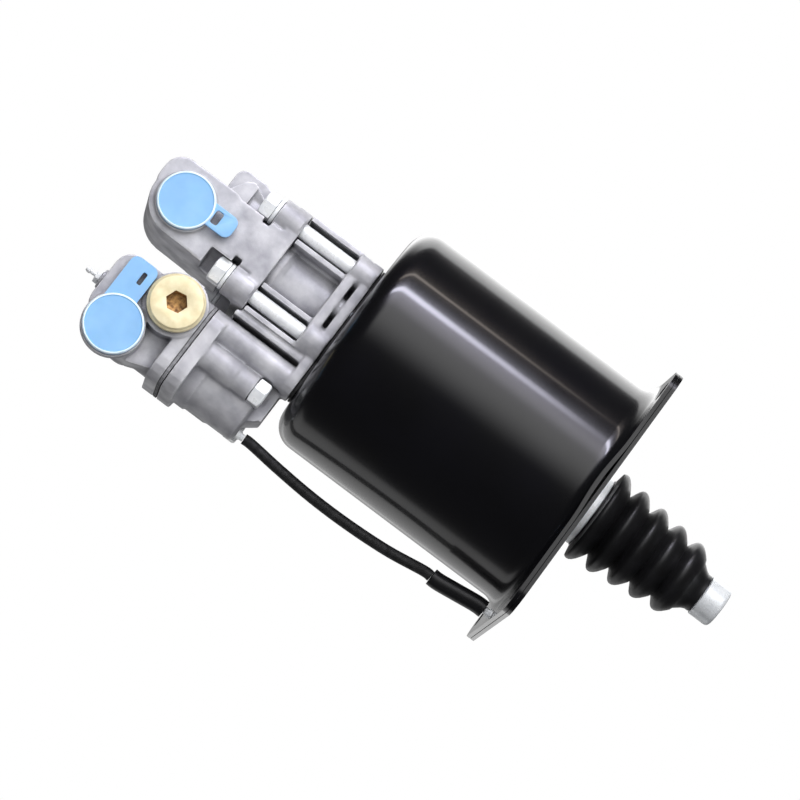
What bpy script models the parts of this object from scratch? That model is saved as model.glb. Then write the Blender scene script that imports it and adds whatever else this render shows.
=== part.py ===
"""Air-assisted hydraulic clutch servo with its boot, push rod and control valve.

The axis of the push rod is the X axis. x = 0 is the mounting face of the flange, the rod points to +X,
the ports and the plug face -Y, and the control valve hangs below the cylinder.
"""

import math

import bmesh
import bpy
from mathutils import Matrix, Vector

MM = 0.001

# Clearances
SEAT_GAP = 0.3 * MM  # between two pieces that touch
SLIDE_GAP = 0.3 * MM  # round a piece that slides in a bore
BOLT_CLEARANCE = 0.5 * MM  # round a bolt's shank
HEAD_CLEARANCE = 0.8 * MM  # round a bolt's head or washer in its recess
OVERLAP = 1.0 * MM  # how far two shapes of one casting run into each other
CAST_STEP = 0.4 * MM  # between two faces of one casting that lie side by side
PAST = 1.0 * MM  # how far a cutter passes the face that it cuts

# Drawn steel shell, its flange and the end cover
SHELL_RADIUS = 65.5 * MM
SHELL_LENGTH = 148 * MM
SHEET = 2.0 * MM
END_CORNER = 13 * MM
MOUTH_FILLET = 8 * MM
FLANGE_EDGE = 3.5 * MM  # from the shell's wall to the flange's nearest edge
FLANGE_DROP = 9.5 * MM  # how much further the flange reaches below the shell
FLANGE_CORNER = 12 * MM
FLANGE_HOLE_RADIUS = 5.5 * MM
COVER_THICKNESS = 2.0 * MM

# Boot and its collar
COLLAR_RADIUS = 19.5 * MM  # also of its foot, which sits in the cover's bore
COLLAR_LENGTH = 4.0 * MM  # bright length between the cover and the boot
COLLAR_BORE = 14 * MM
COLLAR_GRIP = 6.5 * MM  # length of the neck that the boot grips
COLLAR_CHAMFER = 0.6 * MM
BOOT_LIP = 2.3 * MM  # rubber over the collar's neck
BOOT_LENGTH = 70.4 * MM
BOOT_WALL = 1.8 * MM
BOOT_FOLDS = 5
BOOT_FIRST_CREST = 26 * MM
BOOT_LAST_CREST = 20.6 * MM
BOOT_FOLD_DEPTH_FIRST = 7.4 * MM
BOOT_FOLD_DEPTH_LAST = 5.2 * MM
BOOT_NOSE_LENGTH = 7.5 * MM
BOOT_NOSE_WALL = 1.3 * MM

# Push rod
ROD_RADIUS = 9 * MM
ROD_HEAD_RADIUS = 11.25 * MM
ROD_HEAD_LENGTH = 12 * MM
ROD_HEAD_ROUND = 2 * MM
ROD_BALL_RADIUS = 11 * MM

# Power piston with its rings, spring and plunger
STROKE = 45 * MM
PISTON_STOP_LENGTH = 21 * MM  # hub between the piston's plate and the collar
PISTON_PLATE = 6 * MM
PISTON_RIM = 22 * MM
PISTON_RIM_WALL = 2 * MM  # under the deeper ring groove
PISTON_CLEARANCE = 0.9 * MM  # between the rim and the shell
PISTON_HUB_RADIUS = 19 * MM
PISTON_TAIL_LENGTH = 20 * MM
PISTON_TAIL_WALL = 5 * MM
RING_LAND = 2 * MM  # from the rim's end to the first groove
RING_SPACING = 3 * MM
SEAL_WIDTH = 7 * MM
SEAL_DEPTH = 5.5 * MM
SEAL_LIP = 2 * MM
GUIDE_WIDTH = 6 * MM
GUIDE_DEPTH = 2.8 * MM
SPRING_WIRE = 2 * MM
SPRING_CLEARANCE = 1.5 * MM  # between the spring and the screw heads that it stands round
SPRING_TURNS = 6
END_TURN_GAP = 0.2 * MM  # between a spring's closed end turn and the next
PLUNGER_RADIUS = 9 * MM
PLUNGER_CHAMFER = 1 * MM
PLUNGER_PASS = 1 * MM  # round the plunger, in the shell's end
PLUNGER_REACH = 4 * MM  # past its seal at rest
PLUNGER_END_ROOM = 2 * MM  # left in front of the plunger at the end of its stroke
PLUNGER_SEAL_LENGTH = 6 * MM
PLUNGER_SEAL_DEPTH = 4 * MM
PLUNGER_SEAL_LIP = 2 * MM

# Main housing: foot, barrel, bolt columns and window
GASKET_THICKNESS = 1.2 * MM
GASKET_INSET = 1.0 * MM
GASKET_BORE_ROOM = 1.0 * MM  # round the plunger seal's pocket
FOOT_THICKNESS = 5.5 * MM
NECK_LENGTH = 2.6 * MM
BAR_THICKNESS = 5.4 * MM
BAR_MARGIN = 7 * MM
BAR_CORNER = 6 * MM
WINDOW_LENGTH = 30.7 * MM
BARREL_RADIUS = 20.5 * MM
BARREL_COLLAR = 1.2 * MM
BARREL_COLLAR_LENGTH = 5 * MM
VENT_RADIUS = 2.2 * MM
VENT_DEPTH = 3 * MM
VENT_X = 3.2 * MM  # from the bar to the vent's axis
VENT_Z = -1.0 * MM
BOLT_Y = 24 * MM
BOLT_Z = 21 * MM
COLUMN_RADIUS = 9 * MM
RIB_THICKNESS = 3 * MM
RIB_TO_BOLT = 1.6 * MM
WALL_THICKNESS = 2.5 * MM
WALL_INSET = 3 * MM  # of the walls and ribs behind the bar's edge
CORE_WEB = 6 * MM
SCREW_CIRCLE = 24 * MM
SCREW_PAD_RADIUS = 6 * MM
SCREW_DEPTH = 11 * MM

# Fasteners
BOLT_RADIUS = 4 * MM
BOLT_HEAD_FLATS = 13 * MM
BOLT_HEAD_HEIGHT = 7 * MM
BOLT_CROWN = 0.9 * MM
WASHER_THICKNESS = 2 * MM
WASHER_RADIUS = 7.4 * MM
HEAD_BOLT_GRIP = 2 * MM  # how far the long bolts reach into the foot
HOLE_END_ROOM = 0.8 * MM  # past a bolt's tip in a blind hole

# Port head with its arm
LUG_LENGTH = 14.5 * MM
HEAD_PLATE = 7 * MM
ARM_REACH = 54 * MM  # from the joint face to the port's axis
ARM_RADIUS = 18.5 * MM
ARM_Z = -5 * MM
ARM_FRONT = 31 * MM
ARM_BACK = 12 * MM
ARM_END_GAP = 2 * MM  # between the arm's right end and the washers
ARM_TAPER = 1 * MM  # how much the arm's underside drops toward the lugs
HUMP_INSET = 11 * MM  # of the hump behind the arm's front
HUMP_DROP = 2.5 * MM  # of the hump's top under the plate's
HUMP_RIGHT = 2 * MM  # its stations, from the lugs' left ends
HUMP_SADDLE = -10 * MM
HUMP_PEAK = -19 * MM
HUMP_SHOULDER = -23 * MM
HUMP_LEFT = -30 * MM
SADDLE_DEPTH = 3 * MM
SHOULDER_DEPTH = 2.5 * MM
HEAD_BORE_LEAST = 2 * MM  # depth of the plunger's bore in the port head where the stroke needs none
HEAD_CORE_LENGTH = 28 * MM
HEAD_CORE_RADIUS = 21 * MM
PORT_RADIUS = 7 * MM
PORT_DEPTH = 20 * MM
PORT_BOSS_RADIUS = 15.5 * MM
PORT_BOSS_HEIGHT = 3 * MM

# Control valve part of the main housing
VALVE_Y = -2 * MM
VALVE_DROP = 5.3 * MM  # gap under the port head
VALVE_RISE = 29.7 * MM  # from the valve's axis up to the top of its joint face
VALVE_LENGTH = 48.2 * MM
VALVE_RADIUS = 18.5 * MM
VALVE_STEP = 1.5 * MM
VALVE_BEAD_LENGTH = 14 * MM
VALVE_END_GAP = 4.7 * MM  # between the chamber's end and the foot
VALVE_END_ROUND = 2 * MM
VALVE_FLANGE = 8 * MM
VALVE_FLANGE_CORNER = 11 * MM
FLANGE_MARGIN = 0.6 * MM  # of the joint face round its bosses and passage
VALVE_BOLT_CIRCLE = 20.2 * MM
VALVE_BOLT_ANGLES = (160, 50, -20)
VALVE_THREAD = 5.5 * MM
VALVE_BOSS_RADIUS = 7.5 * MM
VALVE_BOSS_LENGTH = 18.5 * MM
VALVE_NECK_RADIUS = 6.9 * MM
VALVE_NECK_LENGTH = 11 * MM
VALVE_BORE = 10 * MM
VALVE_BORE_LENGTH = 24 * MM
VALVE_POCKET_RADIUS = 7.5 * MM
VALVE_POCKET_END = 10 * MM  # from the foot to the spring pocket's end
VALVE_WEB_LEFT = 11.6 * MM  # of the web beside the valve's axis, near side
VALVE_WEB_RIGHT = 8 * MM
GUSSET_DROP = 8 * MM  # under the valve's axis, at the chamber's end
FOOT_DROP = 2 * MM  # under the valve's axis, at the foot
SHELF_THICKNESS = 3 * MM
PASSAGE_Y = -20 * MM
PASSAGE_RADIUS = 7.2 * MM
AIR_BORE = 4 * MM
AIR_POCKET = 10 * MM  # depth of the air bore in the valve head

# Valve head with the plug, the lower port and the bleeder
VALVE_GASKET = 1.6 * MM
VALVE_HEAD_FLANGE = 7 * MM
VALVE_CAP_RADIUS = 17 * MM
VALVE_CAP_LENGTH = 44 * MM
VALVE_HEAD_BORE = 9 * MM
VALVE_HEAD_BORE_LENGTH = 25 * MM
PLUG_X = 15.6 * MM  # from the head's joint face to the plug's axis
PLUG_GAP = 2.5 * MM  # between the plug's boss and the port head above it
PLUG_BOSS_RADIUS = 16.5 * MM
PLUG_FRONT = 30 * MM
PLUG_RADIUS = 14.7 * MM
PLUG_THICKNESS = 5 * MM
PLUG_EDGE = 1.6 * MM
PLUG_SHANK_RADIUS = 9 * MM
PLUG_SHANK_LENGTH = 12 * MM
PLUG_SOCKET_FLATS = 10 * MM
PLUG_SOCKET_DEPTH = 5 * MM
PLUG_RING_THICKNESS = 1.5 * MM
PORT_SPACING = 3.2 * MM  # between the plug's rim and the lower cap's
PORT_ANGLE = math.radians(34.3)  # of the line from the plug down to the lower port
INLET_FRONT = 31 * MM
INLET_BOSS_RADIUS = 16.2 * MM
TOWER_LEFT = 18 * MM  # from the lower port's axis
TOWER_RIGHT = 12 * MM
TOWER_HEIGHT = 36 * MM
TOWER_FOOT = 2 * MM  # under the lower port's axis
TOWER_BACK = 8 * MM
TOWER_CORNER = 9 * MM
HEAD_WEB = 14 * MM
HEAD_WEB_LEFT = 4 * MM  # of the web beside the valve's axis, near side
HEAD_WEB_DROP = 15 * MM  # under the valve's axis, at the head's flange
HEAD_WEB_RISE = 8 * MM
HEAD_WEB_TOE = 3 * MM  # above the lower boss's underside, below the port's axis
HEAD_WEB_HEEL = 5 * MM  # the same, to the right of it
HEAD_WEB_HEEL_X = 9 * MM
BLEED_LEFT = 20.5 * MM  # from the lower port's axis to the bleeder's seat
BLEED_RISE = 19 * MM
BLEED_Y = -10 * MM
BLEED_BOSS_RADIUS = 5.5 * MM
BLEED_BOSS_LENGTH = 14 * MM
BLEED_THREAD_RADIUS = 2.5 * MM
BLEED_THREAD_LENGTH = 8 * MM
BLEED_FLATS = 7 * MM
BLEED_HEX_LENGTH = 2.5 * MM
BLEED_SPIGOT_RADIUS = 1.6 * MM
BLEED_SPIGOT_LENGTH = 6 * MM

# Plastic port caps
CAP_RADIUS = 14.8 * MM
CAP_THICKNESS = 3 * MM
CAP_EDGE = 0.8 * MM
CAP_STEM_LENGTH = 9 * MM
STRAP_THICKNESS = 1.6 * MM
STRAP_LIFT = 0.4 * MM  # of the strap off the port's face
UPPER_TAB_LENGTH = 13 * MM  # past the cap's rim
UPPER_TAB_WIDTH = 12 * MM
UPPER_TAB_RISE = 2 * MM
LOWER_TAB_LEFT = 12.5 * MM
LOWER_TAB_HEIGHT = 35 * MM
TAB_CORNER = 4 * MM
SLOT_WIDTH = 2.5 * MM
SLOT_LENGTH = 7 * MM
SLOT_MARGIN = 1 * MM  # between the lower tab's slot and its round corners
UPPER_SLOT_RISE = 3.5 * MM  # of the upper tab's slot about the tab's middle
UPPER_SLOT_DROP = 2.5 * MM

# Moving parts inside the valve
REACTION_START = 3 * MM  # from the valve's joint face
REACTION_LENGTH = 16 * MM
REACTION_GROOVE = 2 * MM
REACTION_RING = 3 * MM
REACTION_CORE = 3 * MM
REACTION_CORE_DEPTH = 6 * MM
REACTION_SPRING_RADIUS = 6 * MM
REACTION_SPRING_WIRE = 0.8 * MM
INLET_DISC = 3 * MM
INLET_STEM_RADIUS = 3 * MM
INLET_STEM_LENGTH = 6 * MM
INLET_START = 2 * MM  # from the valve head's joint face
INLET_CLEARANCE = 2 * MM
INLET_SPRING_RADIUS = 5 * MM
INLET_SPRING_WIRE = 0.7 * MM
VALVE_SPRING_TURNS = 4

# Breathing hose
HOSE_RADIUS = 2.9 * MM
SLEEVE_RADIUS = 4.6 * MM
SLEEVE_START = -40 * MM
SLEEVE_Y = -8.6 * MM
SLEEVE_DROP = 11.6 * MM  # of the sleeve's left end below the shell
HOSE_DROP = 15.5 * MM  # of the hose's lowest point below the shell
HOSE_SAG = ((0.175, 0.88), (0.383, 0.985), (0.592, 1.0), (0.81, 0.925))  # shares of its run and of its drop
HOSE_STRAIGHT = 5 * MM  # straight length at each end of the hose and the sleeve
NIPPLE_RADIUS = 1.9 * MM
NIPPLE_COLLAR = 2.6 * MM
NIPPLE_COLLAR_LENGTH = 2 * MM
NIPPLE_REACH = 4 * MM
NIPPLE_TUCK = 1 * MM  # of the flange nipple's collar under the mouth's fillet
FLANGE_NIPPLE_ANGLE = math.radians(-97)

# Facets round a full turn
STEPS = 20
SHELL_STEPS = 36
INNER_STEPS = 16
COLUMN_STEPS = 12
HOLE_STEPS = 8

# Local axes: columns are the directions of a shape's own x, y and z
ALONG_X = Matrix(((0, 0, 1), (1, 0, 0), (0, 1, 0))).to_4x4()
BACKWARD = Matrix(((0, 0, -1), (1, 0, 0), (0, -1, 0))).to_4x4()
FACING = Matrix(((1, 0, 0), (0, 0, -1), (0, 1, 0))).to_4x4()

# Stations along X, from the mounting face toward the ports
COVER_BACK = -COVER_THICKNESS
FLANGE_RIGHT = COVER_BACK - SEAT_GAP
FLANGE_LEFT = FLANGE_RIGHT - SHEET
SHELL_END = -SHELL_LENGTH
SHELL_FLOOR = SHELL_END + SHEET
FOOT_FACE = SHELL_END - GASKET_THICKNESS - 2 * SEAT_GAP
FOOT_BACK = FOOT_FACE - FOOT_THICKNESS
BAR_FACE = FOOT_BACK - NECK_LENGTH
BAR_BACK = BAR_FACE - BAR_THICKNESS
JOINT = BAR_BACK - WINDOW_LENGTH
HEAD_FACE = JOINT - SEAT_GAP
LUG_END = HEAD_FACE - LUG_LENGTH
VALVE_JOINT = FOOT_BACK - VALVE_LENGTH
VALVE_HEAD_FACE = VALVE_JOINT - VALVE_GASKET - 2 * SEAT_GAP
BOSS_END = VALVE_JOINT + VALVE_FLANGE + VALVE_BOSS_LENGTH
NECK_END = BOSS_END + VALVE_NECK_LENGTH
CHAMBER_END = FOOT_BACK - VALVE_END_GAP

# Stations along X inside the cylinder, with the piston at rest
PLATE_FRONT = COVER_BACK - SEAT_GAP - PISTON_STOP_LENGTH
PLATE_BACK = PLATE_FRONT - PISTON_PLATE
PLUNGER_TIP = FOOT_FACE - PLUNGER_SEAL_LENGTH - PLUNGER_REACH

# Boot and rod stations
BOOT_START = COLLAR_LENGTH + 2 * SEAT_GAP
BOOT_END = BOOT_START + BOOT_LENGTH
ROD_SHOULDER = BOOT_END + SEAT_GAP

# Heights and widths of the castings
HALF_WIDTH = BOLT_Y + BAR_MARGIN
HALF_HEIGHT = BOLT_Z + COLUMN_RADIUS
VALVE_TOP = -HALF_HEIGHT - VALVE_DROP
VALVE_Z = VALVE_TOP - VALVE_RISE
PASSAGE_Z = VALVE_TOP - PASSAGE_RADIUS - FLANGE_MARGIN

# Centres of the ports and the plug, in the valve head and in the arm
ARM_X = HEAD_FACE - ARM_REACH
PLUG_AXIS_X = VALVE_HEAD_FACE - PLUG_X
PLUG_Z = -HALF_HEIGHT - PLUG_GAP - PLUG_BOSS_RADIUS
PORT_DISTANCE = PLUG_RADIUS + CAP_RADIUS + PORT_SPACING
INLET_AXIS_X = PLUG_AXIS_X - PORT_DISTANCE * math.sin(PORT_ANGLE)
INLET_Z = PLUG_Z - PORT_DISTANCE * math.cos(PORT_ANGLE)

HEAD_CORNER = BOLT_HEAD_FLATS / 2 / math.cos(math.pi / 6)
BOLT_HOLE_RADIUS = BOLT_RADIUS + BOLT_CLEARANCE


def material(name, color, roughness, metallic):
    """A plain shaded material with a base colour, roughness and metallic value."""
    made = bpy.data.materials.new(name)
    made.use_nodes = True
    shader = made.node_tree.nodes["Principled BSDF"]
    shader.inputs["Base Color"].default_value = (*color, 1)
    shader.inputs["Roughness"].default_value = roughness
    shader.inputs["Metallic"].default_value = metallic
    return made


def finish_object(name, bm, place, look):
    """Turns a bmesh into a named object, with its faces out and its round faces smooth."""
    bmesh.ops.recalc_face_normals(bm, faces=bm.faces)
    mesh = bpy.data.meshes.new(name)
    bm.to_mesh(mesh)
    bm.free()
    mesh.shade_smooth()
    mesh.set_sharp_from_angle(angle=math.radians(35))
    obj = bpy.data.objects.new(name, mesh)
    obj.matrix_world = place
    bpy.context.scene.collection.objects.link(obj)
    if look:
        mesh.materials.append(look)
    return obj


def place_at(x, y, z, axes=ALONG_X):
    """A placement whose own z axis runs along X, or toward -Y with FACING."""
    return Matrix.Translation((x, y, z)) @ axes


def turned(name, profile, place, look=None, steps=STEPS):
    """Revolves a closed profile of (radius, height) points about the placement's z axis."""
    bm = bmesh.new()
    points = [bm.verts.new((radius, 0, height)) for radius, height in profile]
    pairs = zip(points, points[1:] + points[:1])
    edges = [bm.edges.new((a, b)) for a, b in pairs if a.co.x > 0 or b.co.x > 0]
    bmesh.ops.spin(bm, geom=points + edges, cent=(0, 0, 0), axis=(0, 0, 1), angle=math.tau,
                   steps=steps, use_merge=True)
    bmesh.ops.remove_doubles(bm, verts=bm.verts, dist=0.001 * MM)
    return finish_object(name, bm, place, look)


def prism(name, outline, height, place, look=None):
    """Extrudes a flat outline of (x, y) points along the placement's z axis."""
    bm = bmesh.new()
    base = bm.faces.new([bm.verts.new((x, y, 0)) for x, y in outline])
    raised = bmesh.ops.extrude_face_region(bm, geom=[base])["geom"]
    tops = [part for part in raised if isinstance(part, bmesh.types.BMVert)]
    bmesh.ops.translate(bm, verts=tops, vec=(0, 0, height))
    return finish_object(name, bm, place, look)


def loft(name, rings, place, look=None):
    """Bridges rings of (x, y, z) points, each with as many points, and closes the first and the last."""
    bm = bmesh.new()
    made = [[bm.verts.new(point) for point in points] for points in rings]
    for low, high in zip(made, made[1:]):
        for i, vert in enumerate(low):
            j = (i + 1) % len(low)
            bm.faces.new((vert, low[j], high[j], high[i]))
    bm.faces.new(made[0])
    bm.faces.new(made[-1])
    return finish_object(name, bm, place, look)


def circle(radius, height, steps):
    """A ring of points at a height, for a loft."""
    angles = [math.tau * i / steps for i in range(steps)]
    return [(radius * math.cos(a), radius * math.sin(a), height) for a in angles]


def cylinder(name, radius, height, place, look=None, steps=STEPS):
    """A round bar from the placement's origin along its z axis."""
    return loft(name, [circle(radius, 0, steps), circle(radius, height, steps)], place, look)


def block(name, low, high):
    """A box between two corners."""
    bm = bmesh.new()
    bmesh.ops.create_cube(bm, size=1)
    size = [b - a for a, b in zip(low, high)]
    middle = [(a + b) / 2 for a, b in zip(low, high)]
    bmesh.ops.scale(bm, vec=size, verts=bm.verts)
    bmesh.ops.translate(bm, vec=middle, verts=bm.verts)
    return finish_object(name, bm, Matrix.Identity(4), None)


def arc(cx, cy, radius, start, end, steps):
    """Points of an arc, with its angles in degrees."""
    angles = [math.radians(start + (end - start) * i / steps) for i in range(steps + 1)]
    return [(cx + radius * math.cos(a), cy + radius * math.sin(a)) for a in angles]


def rounded_rectangle(left, right, bottom, top, radius, steps=4):
    """The outline of a rectangle with round corners."""
    return (
        arc(right - radius, top - radius, radius, 0, 90, steps)
        + arc(left + radius, top - radius, radius, 90, 180, steps)
        + arc(left + radius, bottom + radius, radius, 180, 270, steps)
        + arc(right - radius, bottom + radius, radius, 270, 360, steps)
    )


def hexagon(flats):
    """The outline of a hexagon with this distance across its flats."""
    corner = flats / 2 / math.cos(math.pi / 6)
    return [(corner * math.cos(math.tau * i / 6), corner * math.sin(math.tau * i / 6)) for i in range(6)]


def combine(target, tools, operation):
    """Adds tool objects to a target or cuts them out of it, and leaves the tools as hidden guides."""
    group = bpy.data.collections.new(f"{target.name}_{operation.lower()}")
    bpy.context.scene.collection.children.link(group)
    for tool in tools:
        bpy.context.scene.collection.objects.unlink(tool)
        group.objects.link(tool)
        tool.hide_render = True
        tool.display_type = "WIRE"
    boolean = target.modifiers.new(operation.title(), "BOOLEAN")
    boolean.operation = operation
    boolean.solver = "EXACT"
    boolean.operand_type = "COLLECTION"
    boolean.collection = group
    return target


def join(target, tools):
    """Joins tool objects to a target as one body."""
    return combine(target, tools, "UNION")


def cut(target, tools):
    """Cuts tool objects out of a target."""
    return combine(target, tools, "DIFFERENCE")


def bars(prefix, places, radius, start, end, steps=HOLE_STEPS):
    """Round bars or drills along X, from one station to another, at several (y, z) places."""
    return [
        cylinder(f"{prefix}_{i}", radius, end - start, place_at(start, y, z), steps=steps)
        for i, (y, z) in enumerate(places, 1)
    ]


def flange_outline():
    """The flange's rounded outline, as (y, z) points about the push rod's axis."""
    half = SHELL_RADIUS + FLANGE_EDGE
    return rounded_rectangle(-half, half, -half - FLANGE_DROP, half, FLANGE_CORNER)


def flange_hole_places():
    """The four bolt holes, on the centres of the flange's round corners, as (y, z)."""
    side = SHELL_RADIUS + FLANGE_EDGE - FLANGE_CORNER
    return [(y, z) for y in (-side, side) for z in (side, -side - FLANGE_DROP)]


def screw_places():
    """Where the four screws pass through the shell's closed end, as (y, z)."""
    return [(-SCREW_CIRCLE, 0), (0, SCREW_CIRCLE), (SCREW_CIRCLE, 0), (0, -SCREW_CIRCLE)]


def bolt_places():
    """The four long bolts, near side first, as (y, z)."""
    return [(y, z) for y in (-BOLT_Y, BOLT_Y) for z in (BOLT_Z, -BOLT_Z)]


def valve_bolt_places():
    """The three bolts round the valve, as (y, z)."""
    angles = [math.radians(angle) for angle in VALVE_BOLT_ANGLES]
    return [
        (VALVE_Y + VALVE_BOLT_CIRCLE * math.cos(a), VALVE_Z + VALVE_BOLT_CIRCLE * math.sin(a))
        for a in angles
    ]


def make_shell(look):
    """The drawn cup: flat closed end, rounded corner, straight wall and a mouth flared into the flange."""
    reach = 2 * (SHELL_RADIUS + FLANGE_DROP)
    corner_radius = SHELL_RADIUS - END_CORNER
    corner_x = SHELL_END + END_CORNER
    flare = SHELL_RADIUS + MOUTH_FILLET
    flare_x = FLANGE_LEFT - MOUTH_FILLET
    profile = (
        [(0, SHELL_END)]
        + arc(corner_radius, corner_x, END_CORNER, -90, 0, 3)
        + arc(flare, flare_x, MOUTH_FILLET, 180, 90, 3)
        + [(reach, FLANGE_LEFT), (reach, FLANGE_RIGHT)]
        + arc(flare, flare_x, MOUTH_FILLET + SHEET, 90, 180, 3)
        + arc(corner_radius, corner_x, END_CORNER - SHEET, 0, -90, 2)
        + [(0, SHELL_FLOOR)]
    )
    shell = turned("cylinder_shell", profile, place_at(0, 0, 0), look, steps=SHELL_STEPS)
    trim = prism("shell_trim", flange_outline(), SHELL_LENGTH + 2 * PAST, place_at(SHELL_END - PAST, 0, 0))
    combine(shell, [trim], "INTERSECT")
    floor = (SHELL_END - PAST, SHELL_FLOOR + PAST)
    holes = bars("shell_flange_hole", flange_hole_places(), FLANGE_HOLE_RADIUS,
                 FLANGE_LEFT - PAST, FLANGE_RIGHT + PAST, COLUMN_STEPS)
    holes += bars("shell_hub_hole", [(0, 0)], PLUNGER_RADIUS + PLUNGER_PASS, *floor, INNER_STEPS)
    holes += bars("shell_screw_hole", screw_places(), BOLT_HOLE_RADIUS, *floor)
    holes += bars("shell_air_hole", [(PASSAGE_Y, PASSAGE_Z)], AIR_BORE, *floor)
    return cut(shell, holes)


def make_cover(look):
    """The flat plate that closes the shell's mouth, with a bore for the boot's collar."""
    cover = prism("end_cover", flange_outline(), COVER_THICKNESS, place_at(COVER_BACK, 0, 0), look)
    holes = bars("cover_flange_hole", flange_hole_places(), FLANGE_HOLE_RADIUS, COVER_BACK - PAST, PAST,
                 COLUMN_STEPS)
    holes += bars("cover_bore", [(0, 0)], COLLAR_RADIUS + SEAT_GAP, COVER_BACK - PAST, PAST, STEPS)
    return cut(cover, holes)


def make_collar(look):
    """The turned collar in the cover's bore, with a neck for the boot. The power piston stops on it."""
    neck = COLLAR_RADIUS - BOOT_LIP
    shoulder = BOOT_START - SEAT_GAP
    end = BOOT_START + COLLAR_GRIP
    profile = [
        (COLLAR_BORE, COVER_BACK), (COLLAR_RADIUS, COVER_BACK), (COLLAR_RADIUS, shoulder),
        (neck, shoulder), (neck, end - COLLAR_CHAMFER), (neck - COLLAR_CHAMFER, end), (COLLAR_BORE, end),
    ]
    return turned("boot_collar", profile, place_at(0, 0, 0), look)


def boot_folds():
    """For each fold: its left station, crest radius and depth."""
    pitch = (BOOT_LENGTH - BOOT_NOSE_LENGTH) / BOOT_FOLDS
    folds = []
    for fold in range(BOOT_FOLDS):
        share = fold / (BOOT_FOLDS - 1)
        crest = BOOT_FIRST_CREST + (BOOT_LAST_CREST - BOOT_FIRST_CREST) * share
        depth = BOOT_FOLD_DEPTH_FIRST + (BOOT_FOLD_DEPTH_LAST - BOOT_FOLD_DEPTH_FIRST) * share
        folds.append((BOOT_START + fold * pitch, pitch, crest, depth))
    return folds


def boot_profile():
    """Closed profile of the bellows: crests and valleys that shrink toward the rod."""
    folds_end = BOOT_END - BOOT_NOSE_LENGTH
    rod = ROD_RADIUS + SEAT_GAP
    nose = rod + BOOT_NOSE_WALL
    neck = COLLAR_RADIUS - BOOT_LIP + SEAT_GAP
    grip_end = BOOT_START + COLLAR_GRIP + SEAT_GAP
    crest_shape = ((0.2, 0.8), (0.42, 1.0), (0.62, 0.92), (0.84, 0.48))
    outer = [(neck + BOOT_LIP, BOOT_START)]
    inner = [(neck, BOOT_START), (neck, grip_end)]
    for left, pitch, crest, depth in boot_folds():
        if left > BOOT_START:
            outer.append((crest - depth, left))
            inner.append((crest - depth - BOOT_WALL, left))
        outer += [(crest - depth * (1 - height), left + part * pitch) for part, height in crest_shape]
        middle = left + 0.5 * pitch
        if middle > grip_end + SEAT_GAP:
            inner.append((crest - BOOT_WALL, middle))
    outer += [
        ((outer[-1][0] + nose) / 2, folds_end + BOOT_NOSE_LENGTH / 3),
        (nose, BOOT_END - COLLAR_CHAMFER),
        (nose - COLLAR_CHAMFER, BOOT_END),
    ]
    inner += [(rod, folds_end + BOOT_NOSE_LENGTH / 3), (rod, BOOT_END)]
    return outer + inner[::-1]


def make_boot(look):
    """The rubber bellows between the collar and the push rod."""
    return turned("dust_boot", boot_profile(), place_at(0, 0, 0), look)


def make_push_rod(look):
    """The zinc-plated push rod, from its ball in the piston to its rounded head."""
    ball_x = PLATE_FRONT + ROD_BALL_RADIUS
    neck_angle = math.degrees(math.asin(ROD_RADIUS / ROD_BALL_RADIUS))
    tip = ROD_SHOULDER + ROD_HEAD_LENGTH
    ball = [(radius, x + ball_x) for x, radius in arc(0, 0, ROD_BALL_RADIUS, 180, neck_angle, 5)]
    ball[0] = (0, ball[0][1])
    corner = [
        (radius, x) for x, radius in
        arc(tip - ROD_HEAD_ROUND, ROD_HEAD_RADIUS - ROD_HEAD_ROUND, ROD_HEAD_ROUND, 90, 0, 3)
    ]
    head = [(ROD_RADIUS, ROD_SHOULDER), (ROD_HEAD_RADIUS, ROD_SHOULDER)]
    return turned("push_rod", ball + head + corner + [(0, tip)], place_at(0, 0, 0), look, INNER_STEPS)


def rim_stations():
    """Right ends of the piston's rim, its guide ring's groove and its seal's groove."""
    rim = PLATE_FRONT - (PISTON_RIM + PISTON_PLATE) / 2 + PISTON_RIM
    guide = rim - RING_LAND
    return rim, guide, guide - GUIDE_WIDTH - RING_SPACING


def piston_radius():
    """Outside of the power piston's rim."""
    return SHELL_RADIUS - SHEET - PISTON_CLEARANCE


def make_piston(look):
    """The power piston: rim with two ring grooves, plate, hub with the rod's cup and the plunger's tail."""
    rim = piston_radius()
    rim_right, guide, seal = rim_stations()
    rim_left = rim_right - PISTON_RIM
    rim_inner = rim - SEAL_DEPTH - PISTON_RIM_WALL
    cup = ROD_BALL_RADIUS + SEAT_GAP
    ball_x = PLATE_FRONT + ROD_BALL_RADIUS
    stop = COVER_BACK - SEAT_GAP
    cup_points = [(radius, x + ball_x) for x, radius in arc(0, 0, cup, 180, 90, 5)]
    cup_points[0] = (0, cup_points[0][1])
    tail = PLATE_BACK - PISTON_TAIL_LENGTH
    bore = PLUNGER_RADIUS + SEAT_GAP
    tail_radius = bore + PISTON_TAIL_WALL
    profile = cup_points + [
        (cup, stop), (PISTON_HUB_RADIUS, stop), (PISTON_HUB_RADIUS, PLATE_FRONT), (rim_inner, PLATE_FRONT),
        (rim_inner, rim_right), (rim, rim_right),
        (rim, guide), (rim - GUIDE_DEPTH, guide),
        (rim - GUIDE_DEPTH, guide - GUIDE_WIDTH), (rim, guide - GUIDE_WIDTH),
        (rim, seal), (rim - SEAL_DEPTH, seal),
        (rim - SEAL_DEPTH, seal - SEAL_WIDTH), (rim, seal - SEAL_WIDTH),
        (rim, rim_left), (rim_inner, rim_left), (rim_inner, PLATE_BACK),
        (tail_radius, PLATE_BACK), (tail_radius, tail), (bore, tail), (bore, PLATE_BACK), (0, PLATE_BACK),
    ]
    return turned("power_piston", profile, place_at(0, 0, 0), look)


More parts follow.
